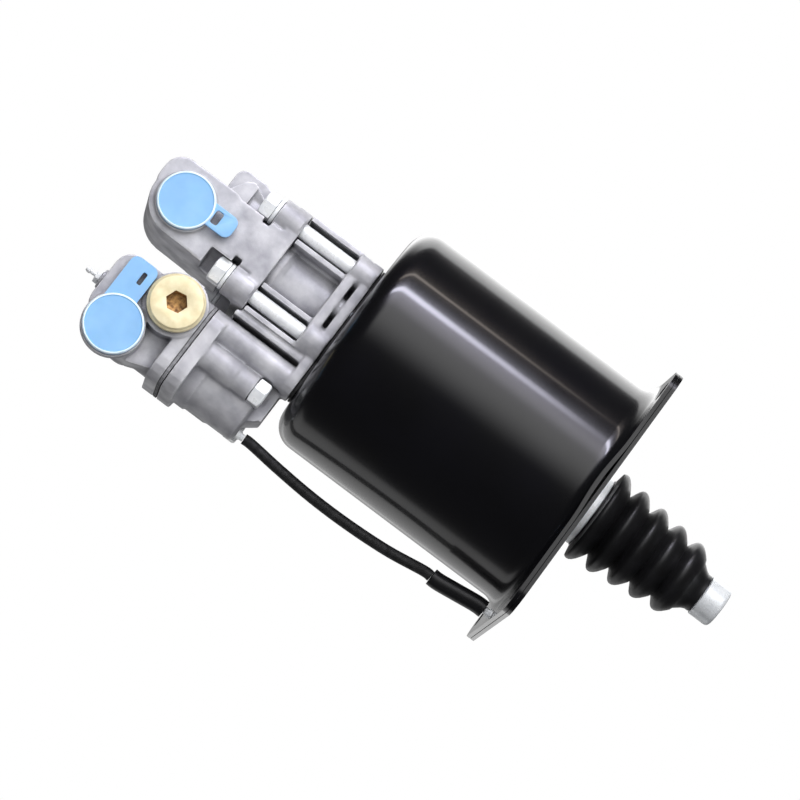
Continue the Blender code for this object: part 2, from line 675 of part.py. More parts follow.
def make_piston_rings(seal_look, guide_look):
    """The lip seal and the guide ring in the piston's grooves."""
    rim = piston_radius()
    wall = SHELL_RADIUS - SHEET - SLIDE_GAP
    _, guide, seal = rim_stations()
    guide_bottom = rim - GUIDE_DEPTH + SEAT_GAP
    guide_left = guide - GUIDE_WIDTH + SEAT_GAP
    turned("piston_guide_ring", [
        (guide_bottom, guide_left), (wall, guide_left), (wall, guide - SEAT_GAP),
        (guide_bottom, guide - SEAT_GAP),
    ], place_at(0, 0, 0), guide_look)
    bottom = rim - SEAL_DEPTH + SEAT_GAP
    right = seal - SEAT_GAP
    left = seal - SEAL_WIDTH + SEAT_GAP
    turned("piston_seal", [
        (bottom, right), (rim - SEAT_GAP, right), (wall, left), (wall - SEAL_LIP, left),
        (bottom + SEAL_LIP, left + SEAL_LIP), (bottom, left),
    ], place_at(0, 0, 0), seal_look)


def make_plunger(look):
    """The hydraulic plunger, from the piston's tail into the barrel."""
    right = PLATE_BACK - SEAT_GAP
    profile = [
        (0, PLUNGER_TIP), (PLUNGER_RADIUS - PLUNGER_CHAMFER, PLUNGER_TIP),
        (PLUNGER_RADIUS, PLUNGER_TIP + PLUNGER_CHAMFER), (PLUNGER_RADIUS, right), (0, right),
    ]
    return turned("hydraulic_plunger", profile, place_at(0, 0, 0), look, INNER_STEPS)


def make_plunger_seal(look):
    """The cup seal round the plunger in the mouth of the barrel."""
    outer = PLUNGER_RADIUS + PLUNGER_SEAL_DEPTH - SEAT_GAP
    inner = PLUNGER_RADIUS + SLIDE_GAP
    right = FOOT_FACE - SEAT_GAP
    left = FOOT_FACE - PLUNGER_SEAL_LENGTH + SEAT_GAP
    profile = [
        (inner, left), ((outer + inner) / 2, left + PLUNGER_SEAL_LIP), (outer, left), (outer, right),
        (inner, right),
    ]
    return turned("plunger_seal", profile, place_at(0, 0, 0), look, INNER_STEPS)


def coil(name, radius, wire, left, right, turns, place, look, around=8, resolution=1):
    """A compression spring with its end turns closed, swept along its helix."""
    closed = wire * 2 + END_TURN_GAP
    span = right - left - 2 * wire
    open_pitch = (span - 2 * closed) / (turns - 2)

    def height(turn):
        """How far the wire has climbed after so many turns."""
        if turn < 1:
            return closed * turn
        if turn > turns - 1:
            return span - closed * (turns - turn)
        return closed + open_pitch * (turn - 1)

    points = []
    for i in range(turns * around + 1):
        angle = math.tau * i / around
        rise = left + wire + height(i / around)
        points.append((radius * math.cos(angle), radius * math.sin(angle), rise))
    spring = tube(name, points, wire, look, resolution)
    spring.matrix_world = place
    return spring


def make_preload_spring(look):
    """The spring that keeps the power piston pushed toward the clutch, round the screw heads."""
    radius = SCREW_CIRCLE + HEAD_CORNER + SPRING_CLEARANCE + SPRING_WIRE
    return coil("preload_spring", radius, SPRING_WIRE, SHELL_FLOOR + SEAT_GAP, PLATE_BACK - SEAT_GAP,
                SPRING_TURNS, place_at(0, 0, 0), look)


def hex_ring(flats, height):
    """A hexagon's ring of twelve points: its corners and the middles of its flats."""
    points = []
    for i in range(12):
        angle = math.tau * i / 12
        reach = flats / 2 if i % 2 else flats / 2 / math.cos(math.pi / 6)
        points.append((reach * math.cos(angle), reach * math.sin(angle), height))
    return points


def hex_bolt(name, length, place, look):
    """A hexagon bolt: its underside at the placement, the shank along z and the crowned head behind."""
    rings = [
        circle(BOLT_HEAD_FLATS / 2 - BOLT_CROWN / 2, -BOLT_HEAD_HEIGHT, 12),
        hex_ring(BOLT_HEAD_FLATS, -BOLT_HEAD_HEIGHT + BOLT_CROWN),
        hex_ring(BOLT_HEAD_FLATS, 0),
        circle(BOLT_RADIUS, 0, 12),
        circle(BOLT_RADIUS, length, 12),
    ]
    return loft(name, rings, place, look)


def ring(name, inner, outer, thickness, place, look, steps=12):
    """A flat washer or sealing ring."""
    profile = [(inner, 0), (outer, 0), (outer, thickness), (inner, thickness)]
    return turned(name, profile, place, look, steps)


def make_head_bolts(look):
    """The four long bolts that clamp the port head to the main housing, each on its washer."""
    washer_x = LUG_END - SEAT_GAP - WASHER_THICKNESS
    head_x = washer_x - SEAT_GAP
    tip = FOOT_BACK + HEAD_BOLT_GRIP
    for i, (y, z) in enumerate(bolt_places(), 1):
        hex_bolt(f"head_bolt_{i}", tip - head_x, place_at(head_x, y, z), look)
        ring(f"head_washer_{i}", BOLT_RADIUS + SEAT_GAP, WASHER_RADIUS, WASHER_THICKNESS,
             place_at(washer_x, y, z), look)


def make_shell_screws(look):
    """The four screws inside the shell that hold its closed end to the main housing."""
    head_x = SHELL_FLOOR + SEAT_GAP
    for i, (y, z) in enumerate(screw_places(), 1):
        hex_bolt(f"shell_screw_{i}", head_x - FOOT_FACE + SCREW_DEPTH,
                 place_at(head_x, y, z, BACKWARD), look)


def foot_outline(inset=0.0):
    """The foot's rounded outline, as (y, z) points."""
    return rounded_rectangle(-HALF_WIDTH + inset, HALF_WIDTH - inset, -HALF_HEIGHT + inset,
                             HALF_HEIGHT - inset, BAR_CORNER, 3)


def air_pad_outline(inset=0.0):
    """The pad under the foot that takes the air passage, as (y, z) points."""
    radius = PASSAGE_RADIUS + FLANGE_MARGIN - inset
    return rounded_rectangle(PASSAGE_Y - radius, VALVE_Y, PASSAGE_Z - radius,
                             -HALF_HEIGHT + PASSAGE_RADIUS, radius, 3)


def make_base_gasket(look):
    """The flat gasket between the shell's end and the main housing's foot."""
    place = place_at(SHELL_END - SEAT_GAP - GASKET_THICKNESS, 0, 0)
    gasket = prism("base_gasket", foot_outline(GASKET_INSET), GASKET_THICKNESS, place, look)
    join(gasket, [prism("gasket_air_pad", air_pad_outline(GASKET_INSET), GASKET_THICKNESS, place)])
    span = (FOOT_FACE - PAST, SHELL_END + PAST)
    bore = PLUNGER_RADIUS + PLUNGER_SEAL_DEPTH + GASKET_BORE_ROOM
    holes = bars("gasket_bore", [(0, 0)], bore, *span, INNER_STEPS)
    holes += bars("gasket_hole", screw_places(), BOLT_HOLE_RADIUS, *span)
    holes += bars("gasket_air_hole", [(PASSAGE_Y, PASSAGE_Z)], AIR_BORE, *span)
    return cut(gasket, holes)


def valve_flange_outline():
    """The outline of the valve's joint face, grown to take its bolts and the air passage."""
    places = valve_bolt_places()
    left = min(y for y, _ in places) - VALVE_BOSS_RADIUS - FLANGE_MARGIN
    right = max(y for y, _ in places) + VALVE_BOSS_RADIUS + FLANGE_MARGIN
    bottom = VALVE_Z - VALVE_RADIUS - OVERLAP
    return rounded_rectangle(left, right, bottom, VALVE_TOP, VALVE_FLANGE_CORNER)


def housing_window():
    """Walls and ribs round the window between the bar and the joint face."""
    side = HALF_WIDTH - WALL_INSET
    rib = BOLT_Z - BOLT_RADIUS - RIB_TO_BOLT
    right = BAR_BACK + OVERLAP
    solids = []
    for name, sign in (("top", 1), ("bottom", -1)):
        outside = HALF_HEIGHT - CAST_STEP
        wall = sorted((sign * outside, sign * (outside - WALL_THICKNESS)))
        solids.append(block(f"housing_wall_{name}", (JOINT - 1.5 * OVERLAP, -side, wall[0]),
                            (right, side, wall[1])))
        rib_z = sorted((sign * rib, sign * (rib - RIB_THICKNESS)))
        solids.append(block(f"housing_rib_{name}", (JOINT - 2 * OVERLAP, -side, rib_z[0]),
                            (right, side, rib_z[1])))
    solids.append(block("housing_web", (JOINT - 2.5 * OVERLAP, -CORE_WEB / 2, -HALF_HEIGHT + OVERLAP),
                        (right, CORE_WEB / 2, HALF_HEIGHT - OVERLAP)))
    return solids


def valve_solids():
    """The valve chamber with its joint flange, bolt bosses, air passage, shelf and gusset."""
    length = CHAMBER_END - VALVE_JOINT
    slim = VALVE_RADIUS - VALVE_STEP
    chamber = [
        (0, OVERLAP), (VALVE_RADIUS, OVERLAP), (VALVE_RADIUS, VALVE_BEAD_LENGTH),
        (slim, VALVE_BEAD_LENGTH + VALVE_STEP), (slim, length - VALVE_END_ROUND),
        (slim - VALVE_END_ROUND, length), (0, length),
    ]
    start = VALVE_JOINT + VALVE_FLANGE - OVERLAP
    foot = FOOT_BACK + OVERLAP
    top = -BARREL_RADIUS + 4 * OVERLAP
    gusset = [
        (start, top), (start, VALVE_Z), (CHAMBER_END - OVERLAP, VALVE_Z),
        (CHAMBER_END - OVERLAP, VALVE_Z - GUSSET_DROP), (foot + OVERLAP, VALVE_Z - FOOT_DROP),
        (foot + OVERLAP, top),
    ]
    left = VALVE_Y - VALVE_WEB_LEFT
    right = VALVE_Y + VALVE_WEB_RIGHT
    shelf_top = -HALF_HEIGHT - OVERLAP
    air = [(PASSAGE_Y, PASSAGE_Z)]
    solids = [
        turned("valve_chamber", chamber, place_at(VALVE_JOINT, VALVE_Y, VALVE_Z)),
        prism("valve_flange", valve_flange_outline(), VALVE_FLANGE, place_at(VALVE_JOINT, 0, 0)),
        prism("valve_gusset", gusset, right - left, place_at(0, right, 0, FACING)),
        prism("valve_air_pad", air_pad_outline(), FOOT_THICKNESS, place_at(FOOT_BACK, 0, 0)),
        block("valve_shelf", (start, PASSAGE_Y - PASSAGE_RADIUS + OVERLAP, shelf_top - SHELF_THICKNESS),
              (foot, right + OVERLAP, shelf_top)),
    ]
    solids += bars("valve_passage", air, PASSAGE_RADIUS, start, foot, COLUMN_STEPS)
    solids += bars("valve_boss", valve_bolt_places(), VALVE_BOSS_RADIUS, start, BOSS_END, COLUMN_STEPS)
    solids += bars("valve_neck", valve_bolt_places(), VALVE_NECK_RADIUS, start, NECK_END + OVERLAP,
                   COLUMN_STEPS)
    return solids


def make_main_housing(look):
    """The cast housing: foot, barrel, bolt columns, window walls and the valve chamber."""
    column = (BAR_BACK + OVERLAP / 2, FOOT_FACE - OVERLAP / 2)
    foot = prism("main_housing", foot_outline(), FOOT_THICKNESS, place_at(FOOT_BACK, 0, 0), look)
    solids = bars("housing_barrel", [(0, 0)], BARREL_RADIUS, JOINT - OVERLAP, FOOT_FACE - OVERLAP, STEPS)
    solids += bars("housing_collar", [(0, 0)], BARREL_RADIUS + BARREL_COLLAR, JOINT - 3 * OVERLAP,
                   JOINT + BARREL_COLLAR_LENGTH, STEPS)
    solids.append(prism("housing_bar", foot_outline(), BAR_THICKNESS, place_at(BAR_BACK, 0, 0)))
    solids += bars("housing_column", bolt_places(), COLUMN_RADIUS - CAST_STEP, *column, COLUMN_STEPS)
    solids += bars("housing_pad", screw_places(), SCREW_PAD_RADIUS - CAST_STEP, *column, COLUMN_STEPS)
    solids += housing_window()
    solids += valve_solids()
    join(foot, solids)

    face = HALF_WIDTH + PAST
    seat = HEAD_CORNER + HEAD_CLEARANCE
    cuts = [
        block("housing_joint_face", (JOINT - 5 * OVERLAP, -face, -HALF_HEIGHT - OVERLAP / 2),
              (JOINT, face, HALF_HEIGHT + PAST)),
        cylinder("housing_vent", VENT_RADIUS, VENT_DEPTH + PAST,
                 place_at(BAR_BACK - VENT_X, -BARREL_RADIUS + VENT_DEPTH, VENT_Z, FACING), steps=HOLE_STEPS),
    ]
    valve = [(VALVE_Y, VALVE_Z)]
    cuts += bars("housing_bore", [(0, 0)], PLUNGER_RADIUS + SLIDE_GAP, JOINT - PAST, FOOT_FACE + PAST,
                 INNER_STEPS)
    cuts += bars("housing_seal_pocket", [(0, 0)], PLUNGER_RADIUS + PLUNGER_SEAL_DEPTH,
                 FOOT_FACE - PLUNGER_SEAL_LENGTH, FOOT_FACE + PAST, INNER_STEPS)
    cuts += bars("housing_bolt_hole", bolt_places(), BOLT_HOLE_RADIUS, JOINT - PAST,
                 FOOT_BACK + HEAD_BOLT_GRIP + HOLE_END_ROOM)
    cuts += bars("housing_screw_hole", screw_places(), BOLT_HOLE_RADIUS,
                 FOOT_FACE - SCREW_DEPTH - HOLE_END_ROOM, FOOT_FACE + PAST)
    cuts += bars("housing_valve_bore", valve, VALVE_BORE, VALVE_JOINT - PAST,
                 VALVE_JOINT + VALVE_BORE_LENGTH, INNER_STEPS)
    cuts += bars("housing_spring_pocket", valve, VALVE_POCKET_RADIUS,
                 VALVE_JOINT + VALVE_BORE_LENGTH - OVERLAP, FOOT_BACK - VALVE_POCKET_END, COLUMN_STEPS)
    cuts += bars("housing_valve_hole", valve_bolt_places(), BOLT_HOLE_RADIUS, VALVE_JOINT - PAST,
                 NECK_END + PAST)
    cuts += bars("housing_valve_seat", valve_bolt_places(), seat, NECK_END,
                 NECK_END + BOLT_HEAD_HEIGHT + 2 * PAST, COLUMN_STEPS)
    cuts += bars("housing_air_bore", [(PASSAGE_Y, PASSAGE_Z)], AIR_BORE, VALVE_JOINT - PAST,
                 FOOT_FACE + PAST)
    return cut(foot, cuts)


def make_port_head(look):
    """The cast head: four bolt lugs on a plate, a round core and the arm that carries the upper port."""
    core_left = HEAD_FACE - HEAD_CORE_LENGTH
    arm_end = LUG_END - WASHER_THICKNESS - ARM_END_GAP
    arm_outline = (
        arc(ARM_X, ARM_Z, ARM_RADIUS, 90, 270, 10)
        + [(arm_end, ARM_Z - ARM_RADIUS - ARM_TAPER), (arm_end, ARM_Z + ARM_RADIUS)]
    )
    hump_top = HALF_HEIGHT - HUMP_DROP
    lug_radius = COLUMN_RADIUS - CAST_STEP
    hump = [
        (LUG_END + HUMP_RIGHT, 0), (LUG_END + HUMP_RIGHT, hump_top),
        (LUG_END + HUMP_SADDLE, hump_top - SADDLE_DEPTH), (LUG_END + HUMP_PEAK, hump_top),
        (LUG_END + HUMP_SHOULDER, hump_top - SHOULDER_DEPTH),
        (LUG_END + HUMP_LEFT, ARM_Z + ARM_RADIUS - OVERLAP), (LUG_END + HUMP_LEFT, 0),
    ]
    head = prism("port_head", foot_outline(), HEAD_PLATE, place_at(HEAD_FACE - HEAD_PLATE, 0, 0), look)
    solids = [
        prism("head_arm", arm_outline, ARM_FRONT + ARM_BACK, place_at(0, ARM_BACK, 0, FACING)),
        prism("head_hump", hump, ARM_FRONT - HUMP_INSET + ARM_BACK - OVERLAP,
              place_at(0, ARM_BACK - OVERLAP, 0, FACING)),
        cylinder("head_port_boss", PORT_BOSS_RADIUS, ARM_FRONT + PORT_BOSS_HEIGHT,
                 place_at(ARM_X, 0, ARM_Z, FACING)),
    ]
    solids += bars("head_core", [(0, 0)], HEAD_CORE_RADIUS, core_left, HEAD_FACE - OVERLAP, STEPS)
    solids += bars("head_lug", bolt_places(), lug_radius, LUG_END - OVERLAP, HEAD_FACE - OVERLAP,
                   COLUMN_STEPS)
    join(head, solids)

    bore_end = min(PLUNGER_TIP - STROKE - PLUNGER_END_ROOM, HEAD_FACE - HEAD_BORE_LEAST)
    cuts = [
        cylinder("head_port", PORT_RADIUS, PORT_DEPTH + PAST,
                 place_at(ARM_X, -ARM_FRONT - PORT_BOSS_HEIGHT + PORT_DEPTH, ARM_Z, FACING),
                 steps=INNER_STEPS),
    ]
    cuts += bars("head_bore", [(0, 0)], PLUNGER_RADIUS + SLIDE_GAP, bore_end, HEAD_FACE + PAST,
                 INNER_STEPS)
    cuts += bars("head_bolt_hole", bolt_places(), BOLT_HOLE_RADIUS, LUG_END - PAST, HEAD_FACE + PAST)
    cuts += bars("head_recess", bolt_places(), lug_radius + HEAD_CLEARANCE,
                 LUG_END - WASHER_THICKNESS - 2 * BOLT_HEAD_HEIGHT, LUG_END, COLUMN_STEPS)
    return cut(head, cuts)


def make_valve_gasket(look):
    """The gasket between the valve chamber and the valve head."""
    left = VALVE_HEAD_FACE + SEAT_GAP
    gasket = prism("valve_gasket", valve_flange_outline(), VALVE_GASKET, place_at(left, 0, 0), look)
    span = (left - PAST, left + VALVE_GASKET + PAST)
    holes = bars("valve_gasket_bore", [(VALVE_Y, VALVE_Z)], VALVE_BORE, *span, COLUMN_STEPS)
    holes += bars("valve_gasket_hole", valve_bolt_places(), BOLT_HOLE_RADIUS, *span)
    holes += bars("valve_gasket_air_hole", [(PASSAGE_Y, PASSAGE_Z)], AIR_BORE, *span)
    return cut(gasket, holes)


def make_valve_head(look):
    """The cast valve head with the plug's boss, the lower port and the bleeder's boss."""
    left = VALVE_HEAD_FACE - VALVE_HEAD_FLANGE
    head = prism("valve_head", valve_flange_outline(), VALVE_HEAD_FLANGE, place_at(left, 0, 0), look)
    tower = rounded_rectangle(INLET_AXIS_X - TOWER_LEFT, INLET_AXIS_X + TOWER_RIGHT, INLET_Z - TOWER_FOOT,
                              INLET_Z + TOWER_HEIGHT, TOWER_CORNER)
    boss_bottom = INLET_Z - INLET_BOSS_RADIUS
    web = [
        (left + OVERLAP, VALVE_Z - HEAD_WEB_DROP), (left + OVERLAP, VALVE_Z + HEAD_WEB_RISE),
        (INLET_AXIS_X, VALVE_Z + HEAD_WEB_RISE), (INLET_AXIS_X, boss_bottom + HEAD_WEB_TOE),
        (INLET_AXIS_X + HEAD_WEB_HEEL_X, boss_bottom + HEAD_WEB_HEEL),
    ]
    bleed = [(BLEED_Y, INLET_Z + BLEED_RISE)]
    bleed_seat = INLET_AXIS_X - BLEED_LEFT
    solids = [
        cylinder("valve_head_plug_boss", PLUG_BOSS_RADIUS, PLUG_FRONT,
                 place_at(PLUG_AXIS_X, 0, PLUG_Z, FACING)),
        cylinder("valve_head_inlet_boss", INLET_BOSS_RADIUS, INLET_FRONT,
                 place_at(INLET_AXIS_X, 0, INLET_Z, FACING)),
        prism("valve_head_tower", tower, TOWER_BACK + PLUG_FRONT - OVERLAP,
              place_at(0, TOWER_BACK, 0, FACING)),
        prism("valve_head_web", web, HEAD_WEB, place_at(0, VALVE_Y - HEAD_WEB_LEFT, 0, FACING)),
    ]
    solids += bars("valve_head_core", [(VALVE_Y, VALVE_Z)], VALVE_CAP_RADIUS,
                   VALVE_HEAD_FACE - VALVE_CAP_LENGTH, VALVE_HEAD_FACE - OVERLAP, STEPS)
    solids += bars("valve_head_bleed_boss", bleed, BLEED_BOSS_RADIUS, bleed_seat,
                   bleed_seat + BLEED_BOSS_LENGTH, COLUMN_STEPS)
    join(head, solids)
    cuts = [
        block("valve_head_joint_face", (VALVE_HEAD_FACE, -2 * PLUG_FRONT, 2 * INLET_Z),
              (VALVE_HEAD_FACE + PLUG_BOSS_RADIUS, 2 * PLUG_FRONT, 0)),
        cylinder("valve_head_plug_hole", PLUG_SHANK_RADIUS + SEAT_GAP, PLUG_SHANK_LENGTH + PAST,
                 place_at(PLUG_AXIS_X, -PLUG_FRONT + PLUG_SHANK_LENGTH, PLUG_Z, FACING)),
        cylinder("valve_head_inlet", PORT_RADIUS, PORT_DEPTH + PAST,
                 place_at(INLET_AXIS_X, -INLET_FRONT + PORT_DEPTH, INLET_Z, FACING), steps=INNER_STEPS),
    ]
    cuts += bars("valve_head_bore", [(VALVE_Y, VALVE_Z)], VALVE_HEAD_BORE,
                 VALVE_HEAD_FACE - VALVE_HEAD_BORE_LENGTH, VALVE_HEAD_FACE + PAST, COLUMN_STEPS)
    cuts += bars("valve_head_bleed_hole", bleed, BLEED_THREAD_RADIUS + SEAT_GAP, bleed_seat - PAST,
                 bleed_seat + BLEED_THREAD_LENGTH + HOLE_END_ROOM)
    cuts += bars("valve_head_hole", valve_bolt_places(), BOLT_HOLE_RADIUS,
                 VALVE_HEAD_FACE - VALVE_THREAD - HOLE_END_ROOM, VALVE_HEAD_FACE + PAST)
    cuts += bars("valve_head_air_bore", [(PASSAGE_Y, PASSAGE_Z)], AIR_BORE,
                 VALVE_HEAD_FACE - AIR_POCKET, VALVE_HEAD_FACE + PAST)
    return cut(head, cuts)


def make_valve_bolts(look):
    """The three bolts that pull the valve head against the valve chamber."""
    seat = NECK_END + SEAT_GAP
    for i, (y, z) in enumerate(valve_bolt_places(), 1):
        hex_bolt(f"valve_bolt_{i}", seat - VALVE_HEAD_FACE + VALVE_THREAD,
                 place_at(seat, y, z, BACKWARD), look)


def make_plug(look, ring_look):
    """The round screw plug with its hexagon socket, on its sealing ring."""
    ring_front = PLUG_FRONT + SEAT_GAP
    seat = ring_front + PLUG_RING_THICKNESS + SEAT_GAP
    ring("plug_seal", PLUG_SHANK_RADIUS + BOLT_CLEARANCE, PLUG_RADIUS - PLUG_EDGE / 2,
         PLUG_RING_THICKNESS, place_at(PLUG_AXIS_X, -ring_front, PLUG_Z, FACING), ring_look, INNER_STEPS)
    tip = PLUG_FRONT - seat - PLUG_SHANK_LENGTH + HOLE_END_ROOM
    profile = [
        (0, tip), (PLUG_SHANK_RADIUS, tip), (PLUG_SHANK_RADIUS, 0), (PLUG_RADIUS, 0),
        (PLUG_RADIUS, PLUG_THICKNESS - PLUG_EDGE), (PLUG_RADIUS - PLUG_EDGE, PLUG_THICKNESS),
        (0, PLUG_THICKNESS),
    ]
    plug = turned("screw_plug", profile, place_at(PLUG_AXIS_X, -seat, PLUG_Z, FACING), look)
    socket = prism("plug_socket", hexagon(PLUG_SOCKET_FLATS), PLUG_SOCKET_DEPTH + PAST,
                   place_at(PLUG_AXIS_X, -seat - PLUG_THICKNESS + PLUG_SOCKET_DEPTH, PLUG_Z, FACING))
    return cut(plug, [socket])


def port_cap(name, x, face, z, look):
    """A port cap: round disc with a softened edge and a stem that plugs the port."""
    stem = PORT_RADIUS - SEAT_GAP
    profile = [
        (0, -CAP_STEM_LENGTH), (stem, -CAP_STEM_LENGTH), (stem, 0), (CAP_RADIUS, 0),
        (CAP_RADIUS, CAP_THICKNESS - CAP_EDGE), (CAP_RADIUS - CAP_EDGE, CAP_THICKNESS), (0, CAP_THICKNESS),
    ]
    return turned(name, profile, place_at(x, -face, z, FACING), look)


def make_upper_cap(look):
    """The blue cap on the upper port, with a short pull tab toward the cylinder."""
    face = ARM_FRONT + PORT_BOSS_HEIGHT + SEAT_GAP
    cap = port_cap("upper_port_cap", ARM_X, face, ARM_Z, look)
    middle = ARM_Z + UPPER_TAB_RISE
    tab = prism("upper_cap_tab",
                rounded_rectangle(0, CAP_RADIUS + UPPER_TAB_LENGTH, -UPPER_TAB_WIDTH / 2, UPPER_TAB_WIDTH / 2,
                                  TAB_CORNER, 3),
                STRAP_THICKNESS, place_at(ARM_X, -face - STRAP_LIFT, middle, FACING))
    join(cap, [tab])
    slot_left = ARM_X + CAP_RADIUS + CAP_EDGE
    slot = block("upper_cap_slot", (slot_left, -face - CAP_THICKNESS, middle - UPPER_SLOT_DROP),
                 (slot_left + SLOT_WIDTH, -face + PAST, middle + UPPER_SLOT_RISE))
    return cut(cap, [slot])


def make_lower_cap(look):
    """The blue cap on the lower port, with a strap that runs up to a rounded tab beside the plug."""
    face = INLET_FRONT + SEAT_GAP
    cap = port_cap("lower_port_cap", INLET_AXIS_X, face, INLET_Z, look)
    left = -LOWER_TAB_LEFT
    right = PLUG_AXIS_X - PLUG_RADIUS - HEAD_CLEARANCE - INLET_AXIS_X
    tab = prism("lower_cap_tab", rounded_rectangle(left, right, 0, LOWER_TAB_HEIGHT, TAB_CORNER),
                STRAP_THICKNESS, place_at(INLET_AXIS_X, -face - STRAP_LIFT, INLET_Z, FACING))
    join(cap, [tab])
    slot_right = INLET_AXIS_X + (left + right) / 2 + SLOT_WIDTH * 1.5
    slot_top = INLET_Z + LOWER_TAB_HEIGHT - TAB_CORNER - SLOT_MARGIN
    slot = block("lower_cap_slot", (slot_right - SLOT_WIDTH, -face - CAP_THICKNESS, slot_top - SLOT_LENGTH),
                 (slot_right, -face + PAST, slot_top))
    return cut(cap, [slot])


def make_bleeder(look):
    """The bleeder screw with its small hexagon and hose spigot."""
    seat = INLET_AXIS_X - BLEED_LEFT - SEAT_GAP
    place = [(BLEED_Y, INLET_Z + BLEED_RISE)]
    body = prism("bleeder_screw", hexagon(BLEED_FLATS), BLEED_HEX_LENGTH,
                 place_at(seat - BLEED_HEX_LENGTH, *place[0]), look)
    parts = bars("bleeder_spigot", place, BLEED_SPIGOT_RADIUS,
                 seat - BLEED_HEX_LENGTH - BLEED_SPIGOT_LENGTH, seat - OVERLAP)
    parts += bars("bleeder_thread", place, BLEED_THREAD_RADIUS, seat - OVERLAP, seat + BLEED_THREAD_LENGTH)
    return join(body, parts)


def make_reaction_parts(metal, rubber, spring_look):
    """The reaction piston of the valve, its seal and its spring."""
    place = place_at(0, VALVE_Y, VALVE_Z)
    start = VALVE_JOINT + REACTION_START
    end = start + REACTION_LENGTH
    bore = VALVE_BORE - SLIDE_GAP
    groove_left = start + REACTION_RING
    groove_right = groove_left + REACTION_RING
    bottom = bore - REACTION_GROOVE
    turned("reaction_piston", [
        (0, start), (bore, start), (bore, groove_left), (bottom, groove_left), (bottom, groove_right),
        (bore, groove_right), (bore, end), (REACTION_CORE, end), (REACTION_CORE, end - REACTION_CORE_DEPTH),
        (0, end - REACTION_CORE_DEPTH),
    ], place, metal, COLUMN_STEPS)
    turned("reaction_seal", [
        (bottom + SEAT_GAP, groove_left + SEAT_GAP), (bore, groove_left + SEAT_GAP),
        (bore, groove_right - SEAT_GAP), (bottom + SEAT_GAP, groove_right - SEAT_GAP),
    ], place, rubber, COLUMN_STEPS)
    coil("reaction_spring", REACTION_SPRING_RADIUS, REACTION_SPRING_WIRE, end + SEAT_GAP,
         FOOT_BACK - VALVE_POCKET_END - SEAT_GAP, VALVE_SPRING_TURNS, place, spring_look, 8, 0)


def make_inlet_parts(brass, spring_look):
    """The inlet valve in the valve head and its spring."""
    place = place_at(0, VALVE_Y, VALVE_Z)
    disc = VALVE_HEAD_FACE - INLET_START
    disc_left = disc - INLET_DISC
    radius = VALVE_HEAD_BORE - INLET_CLEARANCE
    turned("inlet_valve", [
        (0, disc_left - INLET_STEM_LENGTH), (INLET_STEM_RADIUS, disc_left - INLET_STEM_LENGTH),
        (INLET_STEM_RADIUS, disc_left), (radius, disc_left), (radius, disc), (0, disc),
    ], place, brass, COLUMN_STEPS)
    coil("inlet_spring", INLET_SPRING_RADIUS, INLET_SPRING_WIRE,
         VALVE_HEAD_FACE - VALVE_HEAD_BORE_LENGTH + SEAT_GAP, disc_left - SEAT_GAP, VALVE_SPRING_TURNS,
         place, spring_look, 8, 0)


def valve_nipple_place():
    """Where the hose leaves the valve chamber's end, as (y, z)."""
    flat = VALVE_RADIUS - VALVE_STEP - VALVE_END_ROUND - NIPPLE_COLLAR - SEAT_GAP
    return VALVE_Y, VALVE_Z - flat


def flange_nipple_place():
    """Where the hose meets the flange, just outside the shell's flared mouth, as (y, z)."""
    reach = SHELL_RADIUS + MOUTH_FILLET + NIPPLE_COLLAR - NIPPLE_TUCK
    return reach * math.cos(FLANGE_NIPPLE_ANGLE), reach * math.sin(FLANGE_NIPPLE_ANGLE)


def make_nipples(look):
    """The two hose nipples: one in the valve chamber's end, one on the flange."""
    profile = [
        (0, 0), (NIPPLE_COLLAR, 0), (NIPPLE_COLLAR, NIPPLE_COLLAR_LENGTH),
        (NIPPLE_RADIUS, NIPPLE_COLLAR_LENGTH), (NIPPLE_RADIUS, NIPPLE_REACH), (0, NIPPLE_REACH),
    ]
    valve_end = place_at(CHAMBER_END + SEAT_GAP, *valve_nipple_place())
    flange_end = place_at(FLANGE_LEFT - SEAT_GAP, *flange_nipple_place(), BACKWARD)
    turned("valve_nipple", profile, valve_end, look, COLUMN_STEPS)
    turned("flange_nipple", profile, flange_end, look, COLUMN_STEPS)


def smooth_route(points, count):
    """Evenly read points of a smooth curve through the given points."""
    ends = [2 * points[0] - points[1]] + points + [2 * points[-1] - points[-2]]
    route = []
    spans = len(points) - 1
    for i in range(count + 1):
        at = min(i / count * spans, spans - 1e-6)
        k = int(at)
        t = at - k
        a, b, c, d = ends[k:k + 4]
        route.append(0.5 * (2 * b + (c - a) * t + (2 * a - 5 * b + 4 * c - d) * t ** 2
                            + (3 * b - a - 3 * c + d) * t ** 3))
    return route


def tube(name, points, radius, look, resolution=2):
    """A round bar, wire or hose along a list of points, with closed ends."""
    curve = bpy.data.curves.new(name, "CURVE")
    curve.dimensions = "3D"
    curve.bevel_depth = radius
    curve.bevel_resolution = resolution
    curve.use_fill_caps = True
    spline = curve.splines.new("POLY")
    spline.points.add(len(points) - 1)
    for point, place in zip(spline.points, points):
        point.co = (*place, 1)
    curve.materials.append(look)
    bar = bpy.data.objects.new(name, curve)
    bpy.context.scene.collection.objects.link(bar)
    return bar


